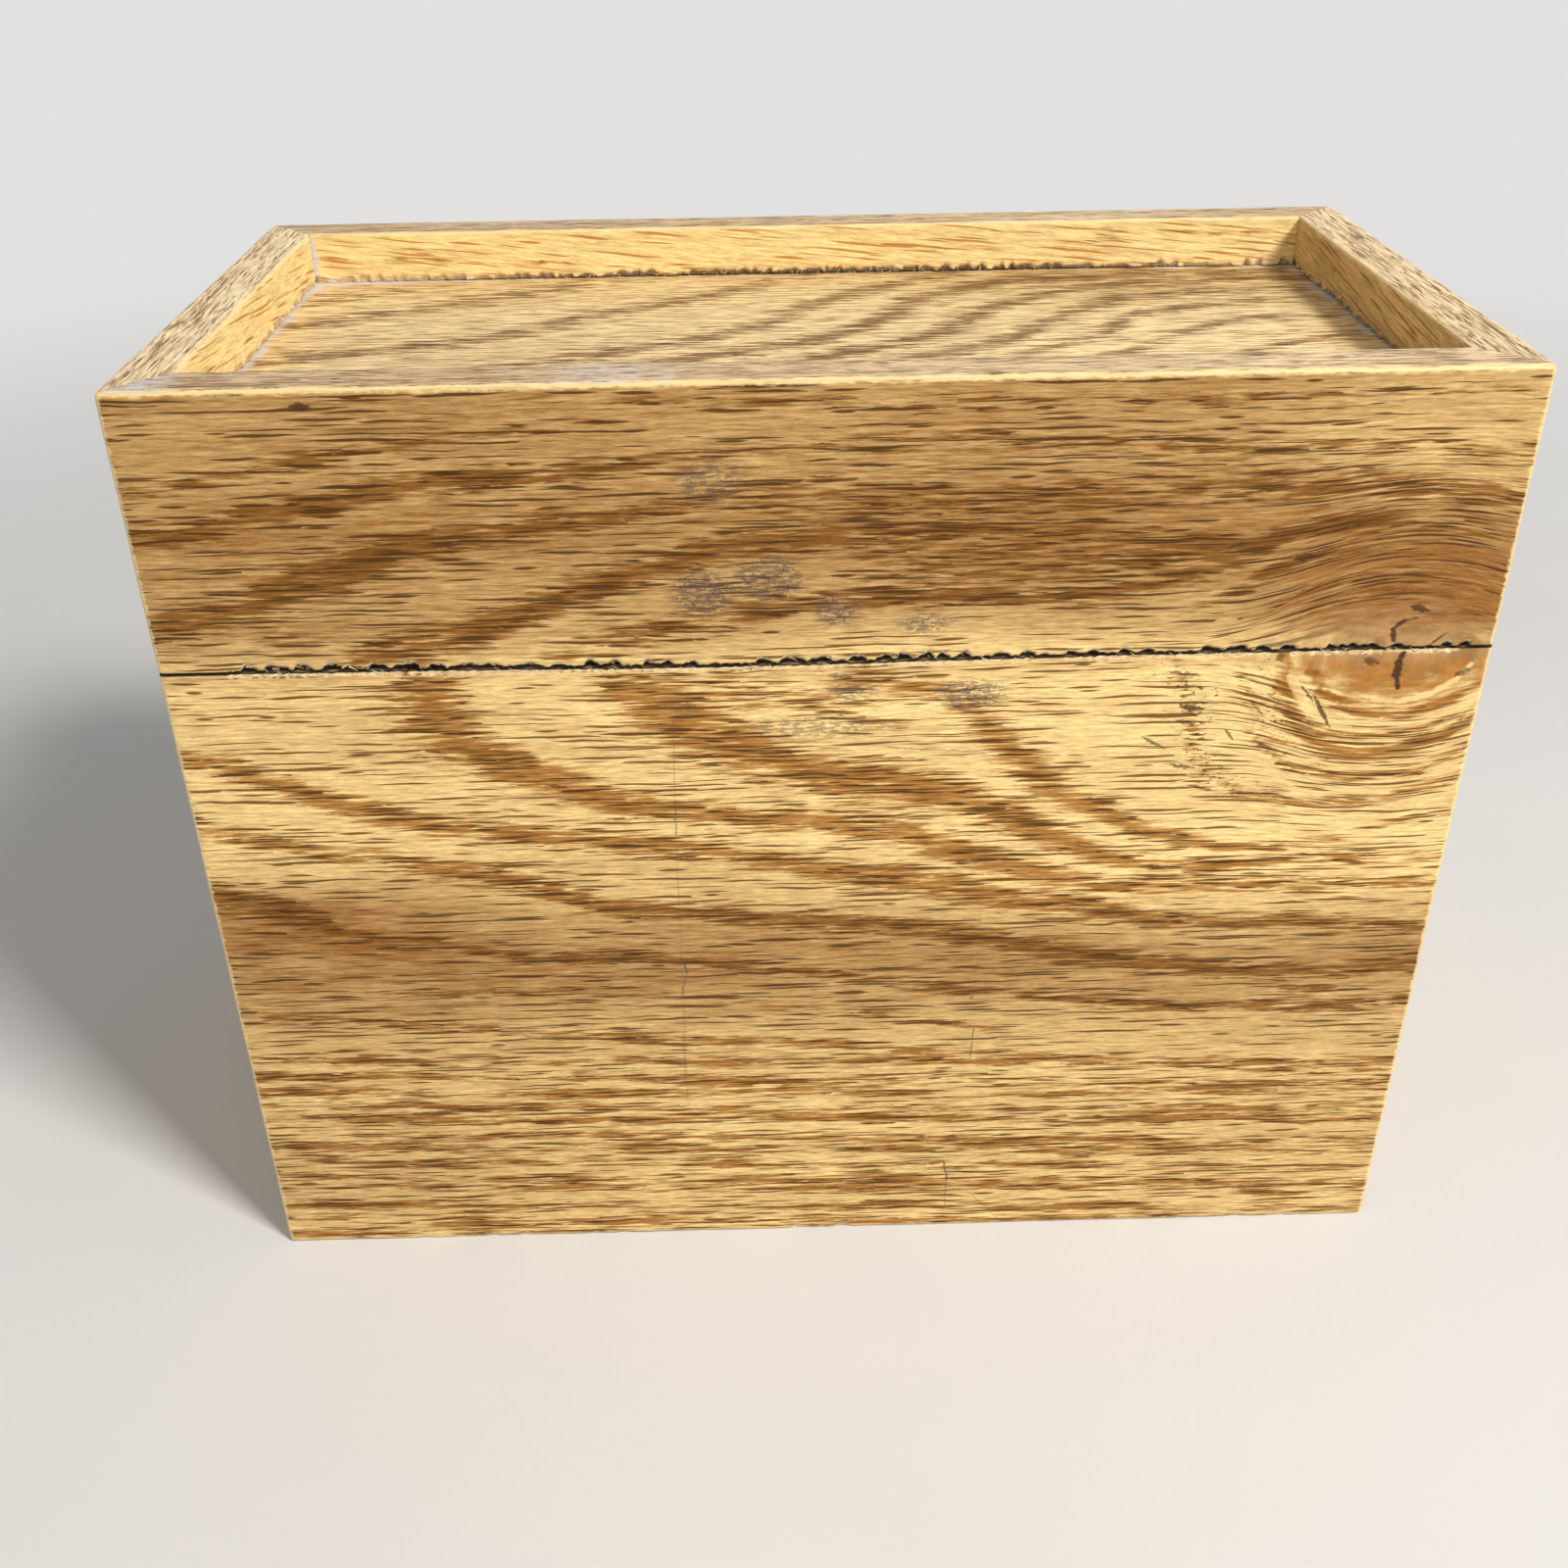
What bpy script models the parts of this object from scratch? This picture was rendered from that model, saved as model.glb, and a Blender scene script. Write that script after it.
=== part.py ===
"""Recipe card box of oak: mitred boards glued up as one closed box, then sawn into a base and a lid.

Run with: blender --background --python part.py
Metres, +Z up. X runs along the front, the front looks towards -Y and the hinges are at the back.
The origin is on the table, under the middle of the box with its hinge barrels.
"""

import math

import bmesh
import bpy
from mathutils import Vector

# The whole box
BOX_WIDTH = 0.1780
BOX_DEPTH = 0.0900
BASE_HEIGHT = 0.1051
LID_HEIGHT = 0.0380
SAW_GAP = 0.0004
WALL_THICKNESS = 0.0079
EDGE_RADIUS = 0.0009
MITRE_GAP = 0.0003

# The lid's sunk top panel and the raised bottom panel, both let into grooves
TOP_RECESS = 0.0079
TOP_PANEL_THICKNESS = 0.0048
BOTTOM_RECESS = 0.0032
BOTTOM_PANEL_THICKNESS = 0.0048
GROOVE_DEPTH = 0.0032
SEAT_GAP = 0.0003

# The two butt hinges, each of two leaves whose knuckles turn on one pin
HINGE_LENGTH = 0.0320
HINGE_INSET = 0.0240
LEAF_THICKNESS = 0.0010
LEAF_MARGIN = 0.0019
BARREL_RADIUS = 0.0022
BARREL_STANDOFF = 0.0003
KNUCKLE_COUNT = 5
KNUCKLE_GAP = 0.0003
PIN_RADIUS = 0.0009
PIN_CLEARANCE = 0.0001
PIN_PROUD = 0.0004
PIN_END_RADIUS = 0.0003

# The slotted countersunk screws
SCREW_INSET = 0.0060
SCREW_LENGTH = 0.0095
SCREW_SHANK_RADIUS = 0.0010
SCREW_HEAD_RADIUS = 0.0019
SCREW_HEAD_HEIGHT = 0.0009
SCREW_HEAD_RIM = 0.0002
SCREW_POINT_LENGTH = 0.0025
SLOT_WIDTH = 0.0004
SLOT_DEPTH = 0.0004
HEAD_SINK = 0.0001
HOLE_GAP = 0.0002

# How far a cutter runs past the face that it opens
OVERRUN = 0.0020

# How finely round shapes are divided
EDGE_SEGMENTS = 3
BARREL_SIDES = 32
SCREW_SIDES = 20

# Sizes that follow from those above
BOX_HEIGHT = BASE_HEIGHT + SAW_GAP + LID_HEIGHT
BARREL_PROUD = BARREL_STANDOFF + 2 * BARREL_RADIUS
BOX_CENTRE_Y = -BARREL_PROUD / 2
BACK_Y = BOX_CENTRE_Y + BOX_DEPTH / 2
AXIS_Y = BACK_Y + BARREL_STANDOFF + BARREL_RADIUS
AXIS_Z = BASE_HEIGHT + SAW_GAP / 2
HINGE_X = BOX_WIDTH / 2 - HINGE_INSET - HINGE_LENGTH / 2
LEAF_REACH = WALL_THICKNESS - LEAF_MARGIN
KNUCKLE_PITCH = HINGE_LENGTH / KNUCKLE_COUNT
SCREW_X = HINGE_LENGTH / 2 - SCREW_INSET
SCREW_Y = BACK_Y - LEAF_REACH / 2
TOP_PANEL_TOP = BOX_HEIGHT - TOP_RECESS
BOTTOM_PANEL_TOP = BOTTOM_RECESS + BOTTOM_PANEL_THICKNESS

# Each side of the box: its name, the run of its board, its distance out, and its turn in degrees
SIDES = (
    ("front", BOX_WIDTH, (0, -BOX_DEPTH / 2), 0),
    ("right", BOX_DEPTH, (BOX_WIDTH / 2, 0), 90),
    ("back", BOX_WIDTH, (0, BOX_DEPTH / 2), 180),
    ("left", BOX_DEPTH, (-BOX_WIDTH / 2, 0), -90),
)


def clear_scene():
    """Empty the file, so that only the box is left in it."""
    for obj in list(bpy.data.objects):
        bpy.data.objects.remove(obj, do_unlink=True)


def new_collection(name):
    """A collection directly under the scene's own."""
    collection = bpy.data.collections.new(name)
    bpy.context.scene.collection.children.link(collection)
    return collection


def new_material(name, colour, roughness, metallic):
    """A Principled material with one colour, roughness and metallic value."""
    material = bpy.data.materials.new(name)
    material.use_nodes = True
    shader = material.node_tree.nodes["Principled BSDF"]
    shader.inputs["Base Color"].default_value = (*colour, 1)
    shader.inputs["Roughness"].default_value = roughness
    shader.inputs["Metallic"].default_value = metallic
    material.diffuse_color = (*colour, 1)
    return material


def add_part(name, mesh, material, parent, place=(0, 0, 0), turn=(0, 0, 0)):
    """One sub-part of the box, placed in the world and carried by its parent empty."""
    obj = bpy.data.objects.new(name, mesh)
    if not mesh.materials:
        mesh.materials.append(material)
    parts.objects.link(obj)
    obj.parent = parent
    obj.location = Vector(place) - parent.location
    obj.rotation_euler = turn
    return obj


def add_cutter(name, mesh, place=(0, 0, 0), turn=(0, 0, 0)):
    """A shape that only cuts or bounds the parts."""
    obj = bpy.data.objects.new(name, mesh)
    cutters.objects.link(obj)
    obj.location = place
    obj.rotation_euler = turn
    obj.hide_render = True
    obj.display_type = "WIRE"
    return obj


def boolean(obj, operation, cutter):
    """Cut, join or bound an object by another one."""
    modifier = obj.modifiers.new(f"{operation.lower()} {cutter.name}", "BOOLEAN")
    modifier.operation = operation
    modifier.object = cutter
    modifier.solver = "EXACT"


def frozen_mesh(obj, name):
    """An object's mesh with its modifiers applied, for several parts to share."""
    depsgraph = bpy.context.evaluated_depsgraph_get()
    mesh = bpy.data.meshes.new_from_object(obj.evaluated_get(depsgraph))
    mesh.name = name
    return mesh


def block_mesh(name, low, high):
    """A rectangular block between two corners."""
    low = Vector(low)
    high = Vector(high)
    shape = bmesh.new()
    bmesh.ops.create_cube(shape, size=1)
    bmesh.ops.scale(shape, vec=high - low, verts=shape.verts)
    bmesh.ops.translate(shape, vec=(low + high) / 2, verts=shape.verts)
    mesh = bpy.data.meshes.new(name)
    shape.to_mesh(mesh)
    shape.free()
    return mesh


def rod_mesh(name, radius, low_x, high_x, sides):
    """A round rod along X."""
    shape = bmesh.new()
    bmesh.ops.create_cone(
        shape, cap_ends=True, segments=sides, radius1=radius, radius2=radius, depth=high_x - low_x
    )
    for vert in shape.verts:
        vert.co = Vector((vert.co.z + (low_x + high_x) / 2, vert.co.x, vert.co.y))
    mesh = bpy.data.meshes.new(name)
    shape.to_mesh(mesh)
    shape.free()
    return mesh


def board_mesh(name, run, low_z, high_z):
    """A board along X with its outer face at y = 0 and both ends mitred towards its inner face.

    It runs past the outer face, which the rounded envelope then cuts to its true place.
    """
    mitre_play = MITRE_GAP / math.sqrt(2)
    shape = bmesh.new()
    bmesh.ops.create_cube(shape, size=1)
    for vert in shape.verts:
        y = -OVERRUN if vert.co.y < 0 else WALL_THICKNESS
        half_run = run / 2 - y - mitre_play
        x = math.copysign(half_run, vert.co.x)
        z = low_z if vert.co.z < 0 else high_z
        vert.co = Vector((x, y, z))
    mesh = bpy.data.meshes.new(name)
    shape.to_mesh(mesh)
    shape.free()
    return mesh


def make_envelope():
    """The outside of the closed box with every edge rounded, which bounds all eight boards."""
    low = (-BOX_WIDTH / 2, BOX_CENTRE_Y - BOX_DEPTH / 2, 0)
    high = (BOX_WIDTH / 2, BACK_Y, BOX_HEIGHT)
    envelope = add_cutter("envelope", block_mesh("envelope", low, high))
    bevel = envelope.modifiers.new("rounded edges", "BEVEL")
    bevel.width = EDGE_RADIUS
    bevel.segments = EDGE_SEGMENTS
    return envelope


def make_panel(name, groove_name, low_z, high_z, material, parent):
    """A flat panel, and the cutter that is the panel with its play all round."""
    reach_x = BOX_WIDTH / 2 - WALL_THICKNESS + GROOVE_DEPTH
    reach_y = BOX_DEPTH / 2 - WALL_THICKNESS + GROOVE_DEPTH
    low = Vector((-reach_x, BOX_CENTRE_Y - reach_y, low_z))
    high = Vector((reach_x, BOX_CENTRE_Y + reach_y, high_z))
    play = Vector((SEAT_GAP, SEAT_GAP, 0))
    rise = Vector((0, 0, SEAT_GAP))
    panel_mesh = block_mesh(name, low + play, high - play)
    add_part(name, panel_mesh, material, parent)
    return add_cutter(groove_name, block_mesh(groove_name, low - rise, high + rise))


def make_boards(name_form, low_z, high_z, envelope, groove, parent):
    """The four boards round the base or the lid, by the name of their side."""
    boards = {}
    for side, run, (x, y), degrees in SIDES:
        name = name_form.format(side)
        boards[side] = add_part(
            name,
            board_mesh(name, run, low_z, high_z),
            oak_board,
            parent,
            place=(x, y + BOX_CENTRE_Y, 0),
            turn=(0, 0, math.radians(degrees)),
        )
        boolean(boards[side], "INTERSECT", envelope)
        boolean(boards[side], "DIFFERENCE", groove)
    return boards


def screw_profile(gap, rise):
    """Half of a countersunk screw's outline, from the head's middle down to the point.

    The gap grows it into the hole that it sits in, and the rise opens that hole upwards.
    """
    return (
        (0, 0, rise),
        (SCREW_HEAD_RADIUS + gap, 0, rise),
        (SCREW_HEAD_RADIUS + gap, 0, -SCREW_HEAD_RIM),
        (SCREW_SHANK_RADIUS + gap, 0, -SCREW_HEAD_HEIGHT),
        (SCREW_SHANK_RADIUS + gap, 0, SCREW_POINT_LENGTH - SCREW_LENGTH),
        (0, 0, -SCREW_LENGTH - gap),
    )


def turned_object(name, profile):
    """A solid of revolution about Z from half an outline."""
    mesh = bpy.data.meshes.new(name)
    edges = [(i, i + 1) for i in range(len(profile) - 1)]
    mesh.from_pydata(profile, edges, [])
    obj = add_cutter(name, mesh)
    screw = obj.modifiers.new("turning", "SCREW")
    screw.steps = SCREW_SIDES
    screw.render_steps = SCREW_SIDES
    screw.use_merge_vertices = True
    screw.merge_threshold = HOLE_GAP / SCREW_SIDES
    return obj


def make_screw_meshes():
    """The slotted screw and its hole, each built once for all eight places."""
    screw = turned_object("screw blank", screw_profile(0, 0))
    slot_low = (-SCREW_HEAD_RADIUS - OVERRUN, -SLOT_WIDTH / 2, -SLOT_DEPTH)
    slot_high = (SCREW_HEAD_RADIUS + OVERRUN, SLOT_WIDTH / 2, OVERRUN)
    slot = add_cutter("screw slot", block_mesh("screw slot", slot_low, slot_high))
    boolean(screw, "DIFFERENCE", slot)
    hole = turned_object("screw hole blank", screw_profile(HOLE_GAP, OVERRUN))
    meshes = frozen_mesh(screw, "screw"), frozen_mesh(hole, "screw hole")
    for blank in (screw, hole, slot):
        bpy.data.objects.remove(blank, do_unlink=True)
    return meshes


def leaf_holes(sign, hinge_x, hole_mesh, name):
    """The two screw holes of one leaf: below the saw cut for sign -1, above it for sign 1."""
    turn = (0, 0, 0) if sign < 0 else (math.pi, 0, 0)
    holes = []
    for number, x in enumerate((-SCREW_X, SCREW_X), start=1):
        place = (hinge_x + x, SCREW_Y, AXIS_Z + sign * (SAW_GAP / 2 + HEAD_SINK))
        holes.append(add_cutter(f"{name} hole {number}", hole_mesh, place, turn))
    return holes


def make_leaf_mesh(name, sign, hole_mesh):
    """One hinge leaf with its knuckles, drawn with the hinge's middle at x = 0.

    The plate lies against the sawn edge, level with it. It is notched from the box's back
    outwards where the other leaf's knuckles turn.
    """
    half_plate = (HINGE_LENGTH - KNUCKLE_GAP) / 2
    faces = sorted((AXIS_Z + sign * SAW_GAP / 2, AXIS_Z + sign * (SAW_GAP / 2 + LEAF_THICKNESS)))
    low = (-half_plate, BACK_Y - LEAF_REACH, faces[0])
    high = (half_plate, AXIS_Y, faces[1])
    leaf = add_cutter(f"{name} blank", block_mesh(name, low, high))
    first_own = 0 if sign < 0 else 1
    scaffold = [leaf]
    for index in range(KNUCKLE_COUNT):
        centre = (index + 0.5) * KNUCKLE_PITCH - HINGE_LENGTH / 2
        own = index % 2 == first_own
        if own:
            half = (KNUCKLE_PITCH - KNUCKLE_GAP) / 2
            mesh = rod_mesh("knuckle", BARREL_RADIUS, centre - half, centre + half, BARREL_SIDES)
            shape = add_cutter(f"{name} knuckle {index}", mesh, (0, AXIS_Y, AXIS_Z))
        else:
            half = (KNUCKLE_PITCH + KNUCKLE_GAP) / 2
            notch_low = (centre - half, BACK_Y, AXIS_Z - OVERRUN)
            notch_high = (centre + half, AXIS_Y + OVERRUN, AXIS_Z + OVERRUN)
            mesh = block_mesh("notch", notch_low, notch_high)
            shape = add_cutter(f"{name} notch {index}", mesh)
        boolean(leaf, "UNION" if own else "DIFFERENCE", shape)
        scaffold.append(shape)
    half_bore = HINGE_LENGTH / 2 + OVERRUN
    bore_mesh = rod_mesh("bore", PIN_RADIUS + PIN_CLEARANCE, -half_bore, half_bore, BARREL_SIDES)
    bore = add_cutter(f"{name} bore", bore_mesh, (0, AXIS_Y, AXIS_Z))
    for cutter in (bore, *leaf_holes(sign, 0, hole_mesh, name)):
        boolean(leaf, "DIFFERENCE", cutter)
        scaffold.append(cutter)
    mesh = frozen_mesh(leaf, name)
    for shape in scaffold:
        bpy.data.objects.remove(shape, do_unlink=True)
    return mesh


def make_pin_mesh():
    """The hinge pin, whose rounded ends stand a little proud of the barrel."""
    half = HINGE_LENGTH / 2 + PIN_PROUD
    mesh = rod_mesh("pin", PIN_RADIUS, -half, half, BARREL_SIDES)
    blank = add_cutter("pin blank", mesh)
    bevel = blank.modifiers.new("rounded ends", "BEVEL")
    bevel.width = PIN_END_RADIUS
    bevel.segments = EDGE_SEGMENTS
    pin_mesh = frozen_mesh(blank, "pin")
    bpy.data.objects.remove(blank, do_unlink=True)
    return pin_mesh


def make_hinge(side, hinge_x, meshes, boards, carriers):
    """One hinge with its pin and four screws, and the mortise and holes that take it."""
    add_part(f"{side}_hinge_pin", meshes["pin"], brass, carriers[-1], (hinge_x, AXIS_Y, AXIS_Z))
    half_mortise = (HINGE_LENGTH - KNUCKLE_GAP) / 2 + SEAT_GAP
    depth = SAW_GAP / 2 + LEAF_THICKNESS + SEAT_GAP
    low = (hinge_x - half_mortise, BACK_Y - LEAF_REACH - SEAT_GAP, AXIS_Z - depth)
    high = (hinge_x + half_mortise, BACK_Y + OVERRUN, AXIS_Z + depth)
    mortise = add_cutter(f"{side} mortise", block_mesh(f"{side} mortise", low, high))
    for sign, level in ((-1, "lower"), (1, "upper")):
        name = f"{side}_hinge_{level}"
        add_part(f"{name}_leaf", meshes[level], brass, carriers[sign], (hinge_x, 0, 0))
        boolean(boards[sign], "DIFFERENCE", mortise)
        holes = leaf_holes(sign, hinge_x, meshes["hole"], name)
        for number, hole in enumerate(holes, start=1):
            boolean(boards[sign], "DIFFERENCE", hole)
            screw_name = f"{name}_screw_{number}"
            turn = hole.rotation_euler
            add_part(screw_name, meshes["screw"], brass, carriers[sign], hole.location, turn)


def shade_round_parts():
    """Smooth shading with crisp edges on every part."""
    for mesh in {obj.data for obj in parts.objects if obj.type == "MESH"}:
        mesh.shade_smooth()
        mesh.set_sharp_from_angle(angle=math.radians(30))


clear_scene()
parts = new_collection("recipe card box")
cutters = new_collection("cutters and guides")
oak_board = new_material("oak board", (0.42, 0.20, 0.06), 0.38, 0)
oak_panel = new_material("oak panel", (0.46, 0.24, 0.08), 0.40, 0)
brass = new_material("brass", (0.62, 0.43, 0.17), 0.35, 1)

base_frame = bpy.data.objects.new("base_frame", None)
parts.objects.link(base_frame)
lid_axis = bpy.data.objects.new("lid_axis", None)
parts.objects.link(lid_axis)
lid_axis.location = (0, AXIS_Y, AXIS_Z)

box_envelope = make_envelope()
bottom_groove = make_panel(
    "bottom_panel", "bottom groove", BOTTOM_RECESS, BOTTOM_PANEL_TOP, oak_panel, base_frame
)
top_groove = make_panel(
    "lid_panel", "top groove", TOP_PANEL_TOP - TOP_PANEL_THICKNESS, TOP_PANEL_TOP, oak_panel, lid_axis
)
base_boards = make_boards(
    "base_{}_board", -OVERRUN, BASE_HEIGHT, box_envelope, bottom_groove, base_frame
)
lid_rails = make_boards(
    "lid_{}_rail", BASE_HEIGHT + SAW_GAP, BOX_HEIGHT + OVERRUN, box_envelope, top_groove, lid_axis
)

screw_mesh, screw_hole_mesh = make_screw_meshes()
hinge_meshes = {
    "lower": make_leaf_mesh("lower leaf", -1, screw_hole_mesh),
    "upper": make_leaf_mesh("upper leaf", 1, screw_hole_mesh),
    "pin": make_pin_mesh(),
    "screw": screw_mesh,
    "hole": screw_hole_mesh,
}
back_boards = {-1: base_boards["back"], 1: lid_rails["back"]}
hinge_carriers = {-1: base_frame, 1: lid_axis}
for hinge_side, side_sign in (("left", -1), ("right", 1)):
    make_hinge(hinge_side, side_sign * HINGE_X, hinge_meshes, back_boards, hinge_carriers)
shade_round_parts()
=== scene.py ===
import math
from collections import namedtuple

import bmesh
import bpy
import numpy as np
from bpy.props import FloatProperty, FloatVectorProperty, IntProperty, PointerProperty
from bpy.types import Operator, Panel, PropertyGroup
from mathutils import Matrix, Vector


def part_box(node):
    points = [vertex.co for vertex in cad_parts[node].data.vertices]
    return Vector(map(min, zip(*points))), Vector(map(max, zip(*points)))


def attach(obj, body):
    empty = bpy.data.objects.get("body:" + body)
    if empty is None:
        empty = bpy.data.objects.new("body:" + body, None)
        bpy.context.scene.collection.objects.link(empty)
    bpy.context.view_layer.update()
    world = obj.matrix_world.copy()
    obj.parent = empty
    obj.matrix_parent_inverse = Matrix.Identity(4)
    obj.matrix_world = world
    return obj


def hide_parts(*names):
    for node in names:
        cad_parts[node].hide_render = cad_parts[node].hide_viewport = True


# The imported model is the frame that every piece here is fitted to
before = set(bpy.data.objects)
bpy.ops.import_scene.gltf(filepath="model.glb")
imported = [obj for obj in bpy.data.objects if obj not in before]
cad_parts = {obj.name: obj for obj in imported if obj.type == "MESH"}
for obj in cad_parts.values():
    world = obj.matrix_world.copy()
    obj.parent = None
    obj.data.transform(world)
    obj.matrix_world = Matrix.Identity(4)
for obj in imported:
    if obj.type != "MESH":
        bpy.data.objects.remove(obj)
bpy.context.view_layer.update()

bl_info = {
    "name": "Recipe card box",
    "version": (1, 0, 0),
    "blender": (4, 5, 0),
    "location": "3D View > Sidebar > Card Box",
    "description": "Dresses the packed card box with oak boards, sunk panels, brass hinges and torn saw cuts",
    "category": "Object",
}

MM = 0.001

# Sizes read from the frame
LID_LOW, LID_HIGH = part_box("lid_front_rail")
BASE_LOW, BASE_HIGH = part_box("base_front_board")
TOP_PANEL_LOW, TOP_PANEL_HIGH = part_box("lid_panel")
BOTTOM_PANEL_LOW, BOTTOM_PANEL_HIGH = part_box("bottom_panel")
LEAF_LOW, LEAF_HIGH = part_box("left_hinge_lower_leaf")
FRONT_Y = LID_LOW.y
BACK_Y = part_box("lid_back_rail")[1].y
LEFT_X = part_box("lid_left_rail")[0].x
RIGHT_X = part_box("lid_right_rail")[1].x
WALL = LID_HIGH.y - LID_LOW.y
BOX_WIDTH = RIGHT_X - LEFT_X
BOX_DEPTH = BACK_Y - FRONT_Y
BOX_TOP = LID_HIGH.z
LID_FOOT = LID_LOW.z
BASE_TOP = BASE_HIGH.z
SEAM_Z = (LID_FOOT + BASE_TOP) / 2
CENTRE = Vector(((LEFT_X + RIGHT_X) / 2, (FRONT_Y + BACK_Y) / 2, 0))
HINGE_NAMES = ("left_hinge", "right_hinge")
LEAF_REACH = BACK_Y - LEAF_LOW.y
LEAF_THICKNESS = 1.0 * MM

# The camera stands where the photograph was taken from
CAMERA_PLACE = (-0.009473, -0.243089, 0.204355)
CAMERA_PITCH = math.radians(31.07102446)
CAMERA_ROLL = math.radians(-1.30837487)
CAMERA_YAW = math.radians(0.7935104)
FOCAL_PIXELS = 1679.5
IMAGE_PIXELS = 1600
SENSOR_WIDTH = 36

Side = namedtuple("Side", "name out along seed")
SIDES = (
    Side("front", (0, -1), (1, 0), 1.0),
    Side("right", (1, 0), (0, 1), 2.0),
    Side("back", (0, 1), (-1, 0), 3.0),
    Side("left", (-1, 0), (0, -1), 4.0),
)

# Growth rings on the front, as brush strokes of (across, above the saw cut, half width, strength).
# Across is from the box's left edge, and all three lengths are in millimetres.
LID_RINGS = (
    ((0, 25.4, 1.0, 0.4), (10, 26.6, 1.2, 0.5), (20, 28.4, 1.2, 0.6), (27, 29.3, 1.1, 0.6),
     (36, 31.4, 1.2, 0.55), (48, 32.0, 1.0, 0.5), (60, 32.6, 1.0, 0.25)),
    ((0, 18.9, 1.4, 0.75), (8, 19.6, 1.4, 0.7), (15, 21.8, 1.4, 0.7), (27, 23.6, 1.6, 0.75),
     (33, 25.2, 1.8, 0.8), (40, 26.2, 1.5, 0.75), (50, 26.5, 1.4, 0.75), (62, 27.6, 1.3, 0.6),
     (76, 28.8, 1.3, 0.45), (92, 29.8, 1.3, 0.3)),
    ((0, 6.2, 1.8, 0.65), (6, 8.0, 2.0, 0.7), (13, 9.6, 2.2, 0.75), (20, 12.2, 2.4, 0.85),
     (26, 14.6, 2.6, 0.9), (33.6, 17.0, 1.8, 0.85), (42, 18.4, 1.4, 0.8), (54, 20.0, 1.3, 0.8),
     (65, 21.4, 1.4, 0.65), (75, 23.0, 1.6, 0.55), (90, 24.8, 1.8, 0.45), (105, 26, 2.0, 0.3)),
    ((27, 1.6, 1.8, 0.7), (33, 3.2, 2.2, 0.8), (43, 5.4, 1.9, 0.85), (48, 7.6, 2.0, 0.9),
     (54, 10.0, 2.0, 0.9), (60, 11.8, 2.0, 0.8), (66, 14.0, 1.9, 0.75), (78, 16.9, 1.8, 0.75),
     (90, 17.6, 1.7, 0.75), (106, 18.4, 1.5, 0.6), (122, 17.8, 1.5, 0.45), (130, 16.5, 1.6, 0.5)),
    ((52, 1.6, 1.6, 0.45), (60, 3.6, 1.8, 0.5), (69, 5.8, 1.8, 0.6), (78, 7.6, 1.6, 0.65),
     (90, 8.9, 1.3, 0.7), (100, 9.0, 1.2, 0.75), (111, 9.2, 1.1, 0.8), (117, 8.6, 1.0, 0.85),
     (124, 8.9, 1.0, 0.8), (130, 9.8, 1.2, 0.8), (138, 12.2, 1.3, 0.75), (145, 14.6, 1.3, 0.7)),
    ((128, 13.4, 1.5, 0.6), (134, 14.9, 1.6, 0.75), (142, 15.6, 1.2, 0.85), (148, 16.5, 1.2, 0.9),
     (154, 18.0, 1.1, 0.85), (163, 18.2, 1.1, 0.6), (172, 17.0, 1.1, 0.5), (178, 15.8, 1.0, 0.4)),
    ((96, 13.6, 3.4, 0.45), (112, 13.8, 3.4, 0.5), (124, 13.6, 3.0, 0.5), (134, 12.8, 2.2, 0.5)),
    ((84, 21.4, 2.0, 0.4), (100, 21.8, 2.4, 0.5), (116, 22.4, 2.2, 0.5), (130, 23.2, 2.2, 0.5),
     (142, 23.4, 2.0, 0.6), (154, 23.2, 2.0, 0.7), (166, 22.4, 2.0, 0.65), (178, 20.4, 2.0, 0.6)),
    ((86, 29.6, 1.4, 0.4), (104, 30.2, 1.4, 0.5), (120, 29.6, 1.4, 0.5), (140, 28.6, 1.4, 0.5),
     (160, 28.2, 1.4, 0.45), (178, 26.8, 1.4, 0.4)),
    ((40, 36.2, 0.8, 0.3), (70, 35.8, 0.9, 0.4), (100, 35.0, 0.9, 0.4), (140, 34.4, 0.9, 0.4),
     (178, 35.2, 0.8, 0.4)),
    ((137, 6.6, 0.7, 0.4), (143, 9.2, 0.9, 0.65), (148, 12.4, 1.0, 0.85), (153, 14.2, 0.9, 0.7),
     (159, 15.0, 0.8, 0.6), (168, 13.8, 0.7, 0.45), (176, 10.5, 0.7, 0.4)),
    ((141, 3.6, 0.6, 0.35), (148, 7.2, 0.7, 0.45), (156, 10.6, 0.7, 0.5), (164, 11.4, 0.6, 0.5),
     (172, 9.4, 0.6, 0.45), (178, 5.8, 0.6, 0.4)),
    ((148, 3.0, 0.5, 0.3), (154, 6.6, 0.6, 0.45), (162, 8.6, 0.6, 0.5), (170, 7.4, 0.6, 0.45),
     (176, 3.6, 0.5, 0.4)),
    ((12, 4.4, 0.8, 0.35), (19, 5.2, 1.0, 0.55), (26, 5.2, 0.8, 0.3)),
)
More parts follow.
